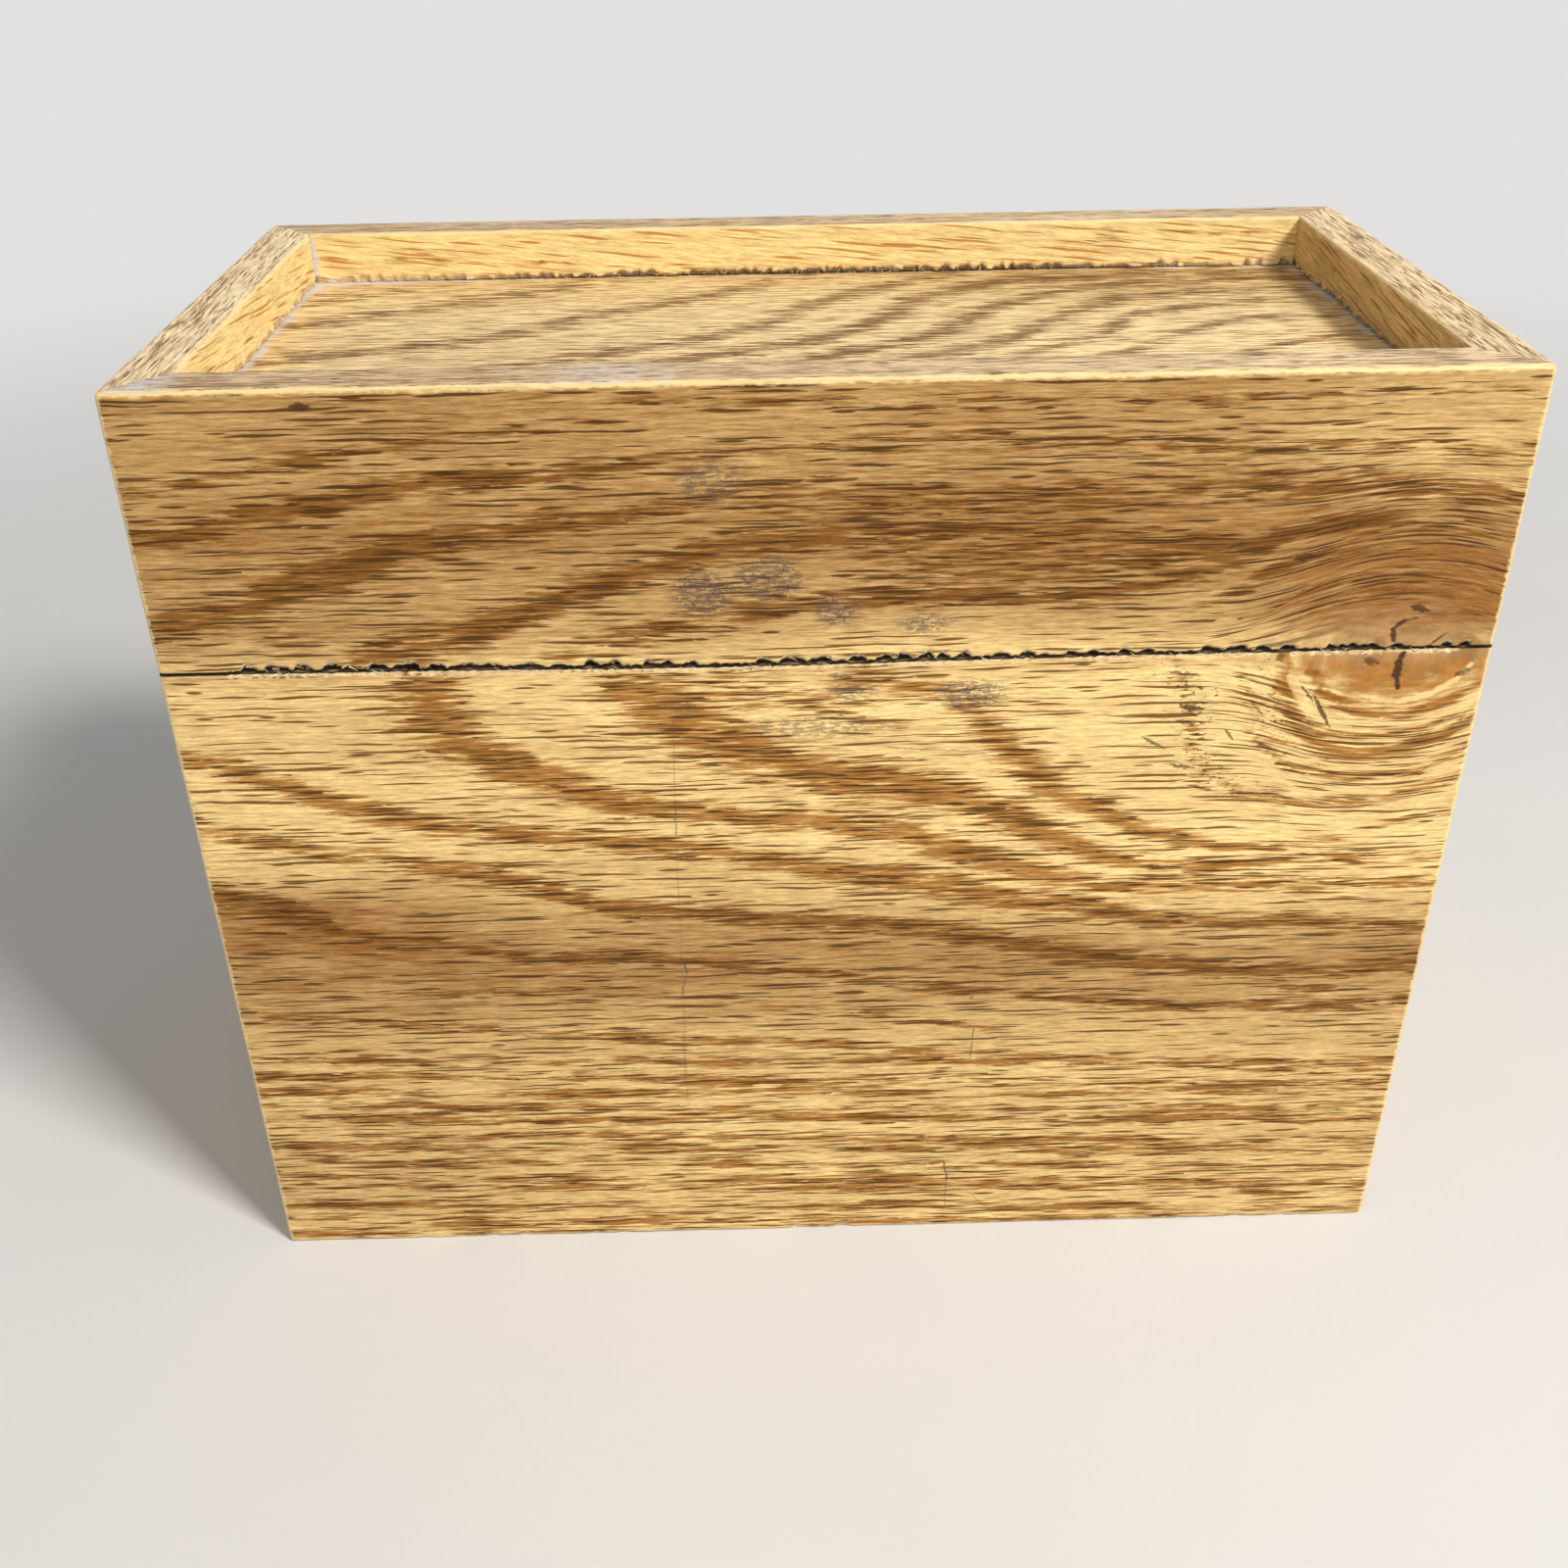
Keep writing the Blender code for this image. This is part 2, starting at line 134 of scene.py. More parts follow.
BASE_RINGS = (
    ((0, -12.4, 1.6, 0.7), (6, -14.2, 1.7, 0.7), (12, -17.2, 1.7, 0.75), (20, -20.5, 1.8, 0.75),
     (27, -22.6, 1.6, 0.75), (36, -24.8, 1.6, 0.8), (45, -26.3, 1.5, 0.8), (57, -27.7, 1.5, 0.75),
     (69, -29.4, 1.6, 0.8), (78, -31.2, 1.5, 0.75), (88, -33.2, 1.7, 0.75), (97, -34.8, 1.9, 0.75),
     (103, -36.4, 1.9, 0.75), (115, -39.2, 2.0, 0.8), (127, -41.6, 2.0, 0.75), (139, -44.0, 1.2, 0.8),
     (146, -44.6, 1.1, 0.85), (156, -44.4, 1.0, 0.85), (166, -45.2, 1.0, 0.7), (178, -46.4, 1.0, 0.6)),
    ((34.5, 1.0, 2.6, 0.6), (34.5, -3.0, 4.4, 0.72), (35.5, -7.0, 5.0, 0.74), (38.5, -11.0, 3.4, 0.8),
     (45, -15.0, 2.6, 0.85), (51, -18.0, 2.2, 0.85), (60, -21.3, 2.0, 0.82), (70, -23.0, 1.7, 0.75),
     (78, -24.5, 1.6, 0.75), (88, -25.2, 1.8, 0.75), (100, -27.8, 2.0, 0.75), (112, -32.4, 2.1, 0.78),
     (124, -36.4, 1.5, 0.72), (133, -37.8, 1.2, 0.7), (154, -37.8, 1.0, 0.65), (178, -38, 0.9, 0.6)),
    ((60, 0.6, 2.4, 0.5), (62, -3.0, 4.0, 0.65), (66, -6.5, 5.0, 0.78), (72, -10.0, 4.0, 0.84),
     (78, -13.5, 3.4, 0.84), (85, -17.0, 3.0, 0.84), (92, -18.6, 3.0, 0.84), (100, -19.6, 2.8, 0.82),
     (108, -22.0, 2.4, 0.82), (115, -25.4, 2.2, 0.82), (121.6, -29.4, 1.9, 0.8), (130, -33.0, 1.4, 0.75),
     (142, -34.4, 1.1, 0.75), (160, -33.4, 0.9, 0.6), (178, -33.8, 0.8, 0.55)),
    ((88, -1.8, 1.4, 0.55), (92, -2.4, 1.8, 0.55), (100, -4.4, 2.4, 0.5), (108, -6.6, 3.0, 0.5),
     (111, -10.5, 2.6, 0.6), (114, -15.0, 2.4, 0.75), (119, -19.4, 2.2, 0.82), (123, -22.4, 2.0, 0.86),
     (127.6, -24.6, 1.5, 0.82), (133, -28.0, 1.3, 0.78), (145, -31.0, 0.9, 0.75), (152, -31.4, 0.8, 0.7),
     (160, -30.4, 0.7, 0.5), (169, -27.8, 0.7, 0.45), (178, -26.4, 0.7, 0.45)),
    ((74, -3.4, 2.2, 0.45), (84, -5.0, 2.4, 0.45), (92, -7.5, 2.2, 0.4), (98, -10.4, 1.8, 0.3)),
    ((0, -23.8, 1.3, 0.6), (7.8, -26.0, 1.4, 0.65), (15, -27.8, 1.4, 0.65), (20.4, -29.4, 1.3, 0.6),
     (26, -29.6, 1.3, 0.6), (33, -31.7, 1.7, 0.7), (42, -33.4, 2.0, 0.75), (49, -36.2, 1.8, 0.8),
     (54, -38.6, 1.4, 0.8), (60, -39.8, 1.3, 0.8), (69, -40.4, 1.2, 0.8), (78, -41.6, 1.4, 0.8),
     (88, -42.7, 1.5, 0.8), (103, -44.0, 1.5, 0.75), (115, -47.0, 1.8, 0.8), (124, -49.4, 1.4, 0.85),
     (136, -51.2, 1.4, 0.85), (148, -53.0, 1.4, 0.8), (160, -54.2, 1.3, 0.7), (178, -53, 1.6, 0.6)),
    ((0, -36.0, 2.4, 0.75), (5, -36.6, 2.2, 0.85), (11, -38.0, 1.8, 0.85), (15, -40.4, 1.6, 0.75),
     (18, -42.8, 1.2, 0.75), (24, -44.4, 1.0, 0.75), (33, -45.0, 0.9, 0.75), (38, -46.6, 1.0, 0.8),
     (45, -47.9, 0.9, 0.75), (60, -48.6, 0.8, 0.65), (69, -49.2, 0.8, 0.75), (78, -50.6, 0.8, 0.7),
     (88, -52.0, 1.0, 0.8), (97, -53.6, 0.8, 0.7), (106, -55.4, 0.8, 0.85), (115, -56.6, 0.7, 0.75),
     (124, -58.1, 0.9, 0.75), (139, -59.6, 0.9, 0.75), (154, -60.3, 0.9, 0.75), (162, -60.8, 0.9, 0.75),
     (172, -60.0, 1.2, 0.7), (178, -59.6, 1.2, 0.6)),
    ((4, -57.9, 0.6, 0.7), (9, -58, 0.8, 0.75), (18, -59.2, 0.8, 0.55), (36, -61.4, 0.8, 0.6),
     (48, -62.6, 0.8, 0.65), (57, -63.4, 1.0, 0.75), (66, -63.8, 0.9, 0.65), (75, -65.0, 0.8, 0.7),
     (90, -65.8, 0.8, 0.7), (112, -68.6, 0.8, 0.6), (140, -71, 0.8, 0.6), (178, -75, 0.8, 0.55)),
    ((25, -54.2, 0.6, 0.5), (42, -54.5, 0.6, 0.6), (57, -55.0, 0.6, 0.45), (70, -56.5, 0.7, 0.4),
     (96, -59.8, 0.8, 0.5), (110, -62.8, 0.5, 0.75), (118, -63.6, 0.5, 0.4)),
    ((135.5, -1.0, 0.8, 0.3), (138, -8.0, 1.0, 0.42), (139, -14.0, 1.1, 0.42), (141, -20.5, 1.0, 0.38)),
    ((144, -2.6, 0.8, 0.35), (146.5, -8.0, 0.9, 0.42), (149, -12.6, 0.8, 0.45), (153, -15.6, 0.7, 0.4)),
    ((150.2, -0.6, 1.2, 0.75), (150.8, -5.0, 1.4, 0.75), (152.5, -11.0, 1.2, 0.75), (156.6, -14.8, 1.0, 0.85),
     (161, -16.2, 1.0, 0.9), (167, -16.0, 1.0, 0.85), (173, -14.0, 0.9, 0.8), (178, -10.8, 0.9, 0.7)),
    ((138.7, -14.2, 0.8, 0.4), (141.5, -18.5, 0.9, 0.5), (147, -22.3, 0.9, 0.6), (156.6, -24.2, 0.9, 0.65),
     (167, -23.8, 0.9, 0.65), (178, -19.8, 0.9, 0.6)),
    ((153.5, -2.0, 0.8, 0.7), (156, -6.4, 0.8, 0.75), (161, -9.6, 0.8, 0.8), (168, -10.2, 0.8, 0.8),
     (174, -7.8, 0.8, 0.75), (178, -5.0, 0.7, 0.6)),
    ((149, -7.4, 0.6, 0.5), (155, -11.6, 0.7, 0.65), (162, -13.4, 0.6, 0.7), (169, -13.0, 0.6, 0.7),
     (175, -10.6, 0.6, 0.6), (178, -8.8, 0.6, 0.5)),
    ((146, -12.0, 0.6, 0.5), (153, -18.2, 0.7, 0.7), (162, -20.0, 0.7, 0.75), (171, -19.0, 0.7, 0.7),
     (178, -15.6, 0.7, 0.6)),
    ((25, -101.4, 1.6, 0.7), (31, -101.4, 1.6, 0.85), (38, -102.4, 1.0, 0.6), (45, -103, 0.8, 0.4)),
    ((155, -98.0, 0.9, 0.6), (161, -99.4, 1.2, 0.8), (168, -100.4, 0.7, 0.4)),
    ((157.5, -57.4, 0.6, 0.7), (161.5, -57.8, 0.9, 0.85), (165, -57.0, 0.6, 0.6)),
)

# The close, nearly level rings of the front's lower third
LOWER_RING_TOP = -66.0
LOWER_RING_FOOT = -110.0
LOWER_RING_PITCH = 3.1
LOWER_RING_DROP = 7.0

# How deep the front's colour is at each height above the saw cut, from 0 for pale to 1 for brown. Partly the wood's
# own tone and partly painted light and shade, such as the lid darker than the base.
FRONT_DEPTHS_AND_SHADE = (
    (-106, 0.26), (-98, 0.36), (-90, 0.38), (-74, 0.34), (-62, 0.56), (-52, 0.84), (-45, 0.76), (-36, 0.36),
    (-26, 0.22), (-12, 0.22), (-5, 0.12), (-2.4, 0.18), (-0.8, 0.4), (1, 0.28), (3, 0.54), (5, 0.68),
    (12, 0.74), (18, 0.88), (25, 0.78), (34, 0.72), (38, 0.84),
)

# Lighter and darker areas of the front: across, above the saw cut, their reaches, and how much darker. Partly the
# wood's own tone and partly painted light and shade.
FRONT_TONES_AND_SHADE = (
    (110, 19, 26, 11, 0.12),
    (172, 30, 22, 14, -0.26),
    (112, 3.5, 26, 3.6, -0.18),
    (52, 5, 10, 4, -0.12),
    (10, -6, 20, 6, 0.10),
    (34, -8, 12, 8, 0.12),
    (150, -38, 40, 10, -0.30),
    (12, -39, 26, 6, 0.30),
    (60, -35, 26, 4, 0.05),
    (8, -92, 24, 14, 0.14),
    (70, -84, 24, 12, -0.10),
    (150, -86, 36, 14, -0.06),
    (140, -10, 14, 10, -0.08),
    (166, 9, 18, 9, 0.35),
)

# The knot at the front's right end, which the fibres bend round
KNOT_X = 165.5
KNOT_Z = -0.8
KNOT_REACH_X = 14.5
KNOT_REACH_Z = 7.8
KNOT_BEND_X = 10.5

# Bites torn out of the lid's sawn edge: across, height and half width in millimetres
LID_BITES = (
    (12.2, 0.8, 1.0), (16.6, 0.7, 0.9), (19.4, 0.9, 1.3), (25.4, 0.5, 0.8), (29.2, 0.8, 1.4),
    (32.0, 0.6, 0.9), (37.0, 0.7, 1.2), (41.2, 0.7, 0.8), (44.6, 0.4, 0.7), (48.2, 0.5, 1.2),
    (53.0, 0.4, 1.1), (57.4, 0.9, 1.0), (59.4, 0.6, 0.6), (65.0, 0.8, 0.8), (70.4, 0.5, 1.0),
    (80.2, 0.8, 1.1), (84.6, 0.9, 1.2), (86.8, 0.6, 0.7), (92.8, 0.8, 1.2), (99.0, 0.9, 1.0),
    (104.2, 0.8, 0.9), (115.4, 0.6, 1.2), (124.0, 0.6, 0.9), (131.4, 0.6, 1.0), (139.8, 0.8, 1.3),
    (142.6, 0.6, 0.7), (147.0, 0.7, 1.1), (156.2, 0.7, 0.9), (160.4, 0.6, 0.9), (164.8, 0.6, 1.1),
    (171.6, 0.8, 0.8),
)

# Stretches of the base's sawn edge with a fringe of raised fibres
BASE_FRINGE = ((11, 33), (36, 60), (64, 72), (75, 93), (97, 106), (109, 117), (122, 134), (138, 148), (152, 173))

# Chips along the front's lower edge
FOOT_BITES = (
    (4.0, 0.5, 2.2), (22.8, 0.7, 1.8), (34.0, 0.9, 1.6), (51.0, 0.7, 1.4), (66.0, 0.3, 1.2),
    (84.6, 1.0, 2.2), (88.4, 0.7, 1.2), (101.0, 0.3, 1.4), (118.0, 0.4, 1.0), (137.0, 0.3, 1.4),
    (157.4, 0.8, 2.2), (173.8, 0.5, 2.0),
)

# Marks on the front as (across, height) to (across, height), then width and strength
KNOT_CRACKS = (
    ((164.2, 1.2), (163.8, 2.9), 0.42, 0.9),
    ((163.8, 2.9), (165.2, 4.2), 0.40, 0.9),
    ((165.2, 4.2), (166.8, 4.4), 0.28, 0.7),
    ((165.9, -0.4), (165.5, -2.2), 0.55, 0.95),
    ((165.5, -2.2), (165.5, -4.0), 0.80, 0.95),
    ((165.5, -4.0), (166.0, -5.8), 0.50, 0.95),
)

# Dark flecks in the same form. Two flecks of one set stay more than twice FLECK_REACH apart
FLECK_REACH = 1.7
FLECKS = {
    "fleck_one": (
        ((171.4, 2.4), (168.8, 0.1), 0.18, 0.85),
        ((160.4, -1.4), (163.2, -2.4), 0.65, 0.7),
        ((173.2, -4.4), (175.6, -3.2), 0.6, 0.75),
        ((154.4, -6.2), (158.0, -12.4), 0.42, 0.85),
        ((134.6, -2.8), (139.4, -3.5), 0.45, 0.8),
        ((136.2, -8.1), (140.4, -8.6), 0.60, 0.9),
        ((131.4, -12.4), (135.8, -15.0), 0.30, 0.75),
        ((145.8, -7.0), (148.8, -10.4), 0.24, 0.6),
        ((148.8, 13.1), (152.2, 13.9), 0.70, 0.8),
        ((138.4, -20.4), (143.4, -21.8), 0.32, 0.75),
        ((147.0, -13.4), (150.6, -15.4), 0.30, 0.6),
        ((139.6, 14.8), (143.2, 15.8), 0.35, 0.7),
        ((23.0, 36.0), (26.2, 35.8), 0.60, 0.9),
        ((8.6, -38.2), (12.6, -38.8), 0.40, 0.75),
        ((39.8, 27.0), (43.2, 27.2), 0.45, 0.75),
        ((27.0, 24.2), (31.6, 24.6), 0.40, 0.6),
        ((38.0, 17.4), (42.4, 17.8), 0.40, 0.7),
        ((49.4, -18.2), (53.0, -18.8), 0.35, 0.7),
        ((43.0, -22.0), (46.4, -22.4), 0.30, 0.6),
        ((88.4, -1.8), (92.4, -2.3), 0.50, 0.6),
    ),
    "fleck_two": (
        ((165.2, 6.4), (168.6, 5.2), 0.55, 0.85),
        ((152.6, -5.0), (155.0, -8.0), 0.26, 0.75),
        ((136.0, -10.2), (139.4, -10.9), 0.42, 0.75),
        ((135.8, -17.2), (140.4, -18.0), 0.42, 0.8),
        ((143.0, -11.4), (144.8, -13.8), 0.28, 0.7),
        ((2.0, -36.0), (6.0, -36.6), 0.35, 0.7),
    ),
}

# Where the front is pecked with small dark specks, as strokes in the form of the rings
PECKED = (
    ((134, -2, 2.0, 0.7), (139, -7, 2.6, 1.0), (139, -14, 2.4, 1.0), (143, -20, 2.2, 0.9), (149, -22, 1.6, 0.7)),
    ((148, -2, 1.4, 0.7), (149, -8, 1.6, 0.9), (151, -13, 1.4, 0.8), (156, -16, 1.2, 0.5)),
    ((152, 8, 3.0, 0.4), (162, 10, 3.0, 0.5), (170, 7, 3.0, 0.4)),
)
PALE_CRESCENTS = (
    ((163.0, -7.6), (166.6, -8.1), 0.5, 0.6),
    ((166.6, -8.1), (170.6, -7.0), 0.6, 0.75),
    ((170.6, -7.0), (173.8, -4.9), 0.6, 0.75),
    ((173.8, -4.9), (175.4, -2.6), 0.5, 0.7),
    ((151.2, -4.0), (154.6, -9.6), 0.9, 0.6),
    ((154.6, -9.6), (160.4, -12.2), 0.8, 0.5),
)
SCUFFS = (
    ((67.8, -8.0), (67.4, -22.0), 0.12, 0.35),
    ((67.5, -22.0), (67.3, -27.0), 0.22, 0.5),
    ((67.3, -27.0), (66.9, -78.0), 0.09, 0.35),
    ((67.0, -48.6), (67.9, -51.2), 0.26, 0.75),
    ((67.9, -51.2), (66.9, -55.4), 0.16, 0.6),
    ((66.8, -63.0), (66.7, -73.0), 0.10, 0.5),
    ((111.4, -16.0), (111.0, -60.0), 0.08, 0.2),
    ((111.2, -63.4), (110.8, -69.6), 0.14, 0.7),
    ((110.8, -56.6), (110.5, -57.6), 0.35, 0.5),
    ((107.6, -90.8), (108.2, -94.6), 0.22, 0.8),
    ((108.2, -94.6), (108.0, -101.8), 0.11, 0.7),
    ((111.6, -97.4), (117.8, -104.8), 0.09, 0.5),
    ((96.4, -13.4), (110.4, -14.6), 0.16, 0.45),
)

# Grey residue rubbed on the front: across, above the saw cut, reaches in millimetres, strength
RESIDUE = (
    (74.0, 25.4, 9.0, 5.5, 0.62),
    (72.5, 10.0, 7.0, 5.5, 0.92),
    (81.0, 12.0, 8.0, 5.5, 0.88),
    (90.0, 7.4, 5.5, 4.0, 0.80),
    (101.5, 5.4, 7.0, 2.8, 0.72),
    (92.0, -4.4, 7.0, 3.4, 0.66),
    (108.0, -5.4, 9.0, 4.0, 0.86),
    (88.0, -10.0, 20.0, 3.8, 0.56),
    (69.0, -6.4, 5.0, 3.4, 0.56),
)

# Growth rings on the lid's panel: half width, strength, then (across, behind the front) in millimetres
PANEL_RINGS = (
    (2.0, 0.5, (5, 68), (11, 71), (20, 76), (30, 81)),
    (1.9, 0.65, (4, 54), (10, 57), (21, 61), (32, 67.5), (41.5, 72.2), (50, 77), (57, 82)),
    (1.8, 0.7, (4, 34), (15.4, 40), (35.6, 46), (46, 51), (52, 58), (66.5, 65), (76, 72), (88, 81)),
    (1.6, 0.7, (6, 22), (30, 28), (55.8, 37.8), (66.5, 42.5), (76, 48.5), (84.3, 55.6), (86, 60.3),
     (95, 68.6), (104.4, 75.8), (114, 82)),
    (1.6, 0.8, (6, 11), (30, 19), (52, 28), (73.6, 37.2), (89, 43.7), (96, 49.7), (101, 56.8),
     (104.4, 64), (112.7, 71), (122, 75.8), (136.5, 78.1), (174, 79)),
    (1.5, 0.8, (30, 8), (55, 19), (76, 28), (95, 37.8), (105.6, 43.7), (110.4, 50.8), (117.5, 60.3),
     (124.6, 66.3), (136.5, 72.2), (163.8, 74.6), (174, 74.6)),
    (1.4, 0.75, (52, 7), (74, 17), (93, 28), (109, 37.2), (118.7, 42.5), (122.2, 49.7), (129.3, 56.8),
     (136.5, 62.7), (148.3, 66.9), (174, 67.7)),
    (1.2, 0.7, (80, 7), (94, 17), (108, 28), (122.2, 37.8), (131.7, 43.7), (134.1, 49.7), (140, 55.6),
     (154.3, 60.3), (174, 61.7)),
    (1.1, 0.65, (104, 7), (113, 17), (124, 28), (136.5, 37.8), (146, 46.1), (151.9, 50.8), (174, 52.4)),
    (1.1, 0.55, (122, 7), (131, 17), (142, 28), (153, 36), (163, 41), (174, 43)),
    (1.1, 0.5, (140, 7), (149, 16), (160, 24), (174, 30)),
)


def srgb(red, green, blue):
    """A colour as Blender keeps it, from the 0 to 255 values that a screen shows."""
    return tuple(
        (c / 255 / 12.92) if c <= 10 else ((c / 255 + 0.055) / 1.055) ** 2.4 for c in (red, green, blue)
    )


def length(name, description, default):
    """A property for a size in metres."""
    return FloatProperty(
        name=name, description=description, default=default, min=0, unit="LENGTH", subtype="DISTANCE", precision=5
    )


def colour(name, description, default):
    """A property for a colour, given as a screen shows it."""
    return FloatVectorProperty(
        name=name, description=description, default=srgb(*default), min=0, max=1, size=3, subtype="COLOR"
    )


def share(name, description, default, highest=1.0):
    """A property for a plain number or a share of one."""
    return FloatProperty(name=name, description=description, default=default, min=0, max=highest)


class CardBoxWood(PropertyGroup):
    """Sizes and colours of the oak."""

    edge_radius: length("Edge radius", "Rounding of the box's outer edges", 0.85 * MM)
    inner_radius: length("Inner radius", "Rounding of the rim's inner edge", 0.5 * MM)
    mitre_gap: length("Mitre gap", "Half the open line at each mitred corner", 0.03 * MM)
    face_step: length("Face step", "Spacing of the mesh on the faces that show most", 1.0 * MM)
    edge_step: length("Edge step", "Spacing of the mesh along torn and rounded edges", 0.3 * MM)
    hidden_step: length("Inside step", "Spacing of the mesh on plain inner faces", 3.0 * MM)
    saw_sag: length("Saw sag", "How far the saw wandered down at the middle of the front", 0.45 * MM)
    pore_length: length("Pore length", "Length of an open pore along the grain", 13.0 * MM)
    pore_spacing: length("Pore spacing", "Distance between pores across the grain", 1.5 * MM)
    pore_width: length("Pore width", "Half the width of an open pore", 0.15 * MM)
    light_wood: colour("Light wood", "Palest oak between the rings", (255, 221, 150))
    deep_wood: colour("Deep wood", "Browner oak of the darker areas", (152, 102, 46))
    ring_wood: colour("Ring wood", "Stained early wood of the growth rings", (164, 100, 6))
    pore_wood: colour("Pore wood", "Stain held in the pores", (114, 68, 3))
    knot_wood: colour("Knot wood", "Dense wood of the knot", (164, 98, 5))
    raw_wood: colour("Raw wood", "Bare wood of chips and sawn edges", (240, 220, 178))
    residue: colour("Residue", "Grey marks rubbed on the front", (86, 72, 68))
    # Also the colour of the painted sheen on the rim
    dust: colour("Dust", "Pale polish and dust left in the corners", (214, 208, 204))


class CardBoxBrass(PropertyGroup):
    """Sizes and colours of the hinges and screws."""

    arris: length("Arris", "Rounding of the hinge's sheet metal edges", 0.1 * MM)
    head_radius: length("Head radius", "Radius of a screw's countersunk head", 1.85 * MM)
    head_rim: length("Head rim", "Straight rim of a screw's head", 0.2 * MM)
    head_height: length("Head height", "Height of the head's cone", 0.7 * MM)
    shank_radius: length("Shank radius", "Radius of a screw's shank", 0.95 * MM)
    screw_length: length("Screw length", "Length of a screw under its head", 8.4 * MM)
    slot_width: length("Slot width", "Width of the screwdriver slot", 0.4 * MM)
    slot_depth: length("Slot depth", "Depth of the screwdriver slot", 0.4 * MM)
    bright: colour("Bright brass", "Rubbed metal", (206, 170, 100))
    dull: colour("Dull brass", "Tarnished metal", (136, 108, 62))


class CardBoxTears(PropertyGroup):
    """Sizes of the fibres that the saw tore up."""

    fibre_length: length("Fibre length", "Length of a torn fibre", 1.1 * MM)
    fibre_radius: length("Fibre radius", "Thickness of a torn fibre at its root", 0.09 * MM)
    seam_count: IntProperty(name="Seam fibres", description="Torn fibres along the saw cut", default=700, min=0)
    recess_count: IntProperty(name="Recess fibres", description="Fibres round the sunk panel", default=700, min=0)
    seed: IntProperty(name="Seed", description="Fixes where the fibres lie", default=7)


class CardBoxStage(PropertyGroup):
    """The floor, the lamps and the world."""

    floor: colour("Floor", "Plain pale floor", (222, 221, 219))
    world: colour("World", "Plain pale surroundings", (226, 225, 224))
    floor_radius: length("Floor radius", "Reach of the floor", 6.0)
    world_strength: share("World strength", "Soft light from all round", 0.42, 5)
    key_power: share("Key power", "Power of the main lamp in watts", 15.2, 500)
    fill_power: share("Fill power", "Power of the lamp at the left in watts", 2.4, 500)
    key_size: length("Key size", "Width of the main lamp", 0.26)
    fill_size: length("Fill size", "Width of the lamp at the left", 0.9)


class Nodes:
    """A node tree with short ways of adding to it. Inputs are plain values or other nodes' sockets."""

    def __init__(self, tree):
        self.tree = tree

    def add(self, kind, inputs=None, **settings):
        made = self.tree.nodes.new(kind)
        for name, value in settings.items():
            setattr(made, name, value)
        for key, value in (inputs or {}).items():
            if isinstance(value, bpy.types.NodeSocket):
                self.tree.links.new(value, made.inputs[key])
            else:
                made.inputs[key].default_value = value
        return made

    def maths(self, operation, first, second=0.0, clamp=False):
        return self.add("ShaderNodeMath", {0: first, 1: second}, operation=operation, use_clamp=clamp).outputs[0]

    def mix(self, factor, first, second, blend="MIX"):
        inputs = {0: factor, 6: first, 7: second}
        return self.add("ShaderNodeMix", inputs, data_type="RGBA", blend_type=blend).outputs[2]

    def rise(self, value, low, high, start=0.0, end=1.0):
        """A smooth step from start to end as the value goes from low to high."""
        inputs = {"Value": value, "From Min": low, "From Max": high, "To Min": start, "To Max": end}
        return self.add("ShaderNodeMapRange", inputs, interpolation_type="SMOOTHSTEP").outputs[0]

    def vector(self, x=0.0, y=0.0, z=0.0):
        return self.add("ShaderNodeCombineXYZ", {"X": x, "Y": y, "Z": z}).outputs[0]

    def stretch(self, vector, along, across, offset=0.0):
        """A vector in millimetres scaled down along and across the grain."""
        inputs = {0: vector, 1: (1 / along, 1 / across, 1), 2: (offset, offset, offset)}
        return self.add("ShaderNodeVectorMath", inputs, operation="MULTIPLY_ADD").outputs[0]

    def grey(self, value):
        return self.add("ShaderNodeCombineColor", {0: value, 1: value, 2: value}).outputs[0]

    def noise(self, vector, detail=2.0, roughness=0.5, scale=1.0):
        inputs = {"Vector": vector, "Scale": scale, "Detail": detail, "Roughness": roughness}
        return self.add("ShaderNodeTexNoise", inputs).outputs["Fac"]

    def group(self, tree, inputs):
        made = self.tree.nodes.new(self.tree.bl_idname.replace("NodeTree", "NodeGroup"))
        made.node_tree = tree
        for key, value in inputs.items():
            if isinstance(value, bpy.types.NodeSocket):
                self.tree.links.new(value, made.inputs[key])
            else:
                made.inputs[key].default_value = value
        return made.outputs

    def attribute(self, name, output="Fac"):
        return self.add("ShaderNodeAttribute", attribute_name=name).outputs[output]


def new_group(name, kind, inputs, outputs):
    """A node group with named sockets, each given as its label and its kind."""
    tree = bpy.data.node_groups.new(name, kind)
    for label, socket in inputs:
        tree.interface.new_socket(label, in_out="INPUT", socket_type=f"NodeSocket{socket}")
    for label, socket in outputs:
        tree.interface.new_socket(label, in_out="OUTPUT", socket_type=f"NodeSocket{socket}")
    nodes = Nodes(tree)
    return nodes, nodes.add("NodeGroupInput").outputs, nodes.add("NodeGroupOutput").inputs


def build_once(name, build):
    """The node group of that name, built at its first use."""
    return bpy.data.node_groups.get(name) or build(name)


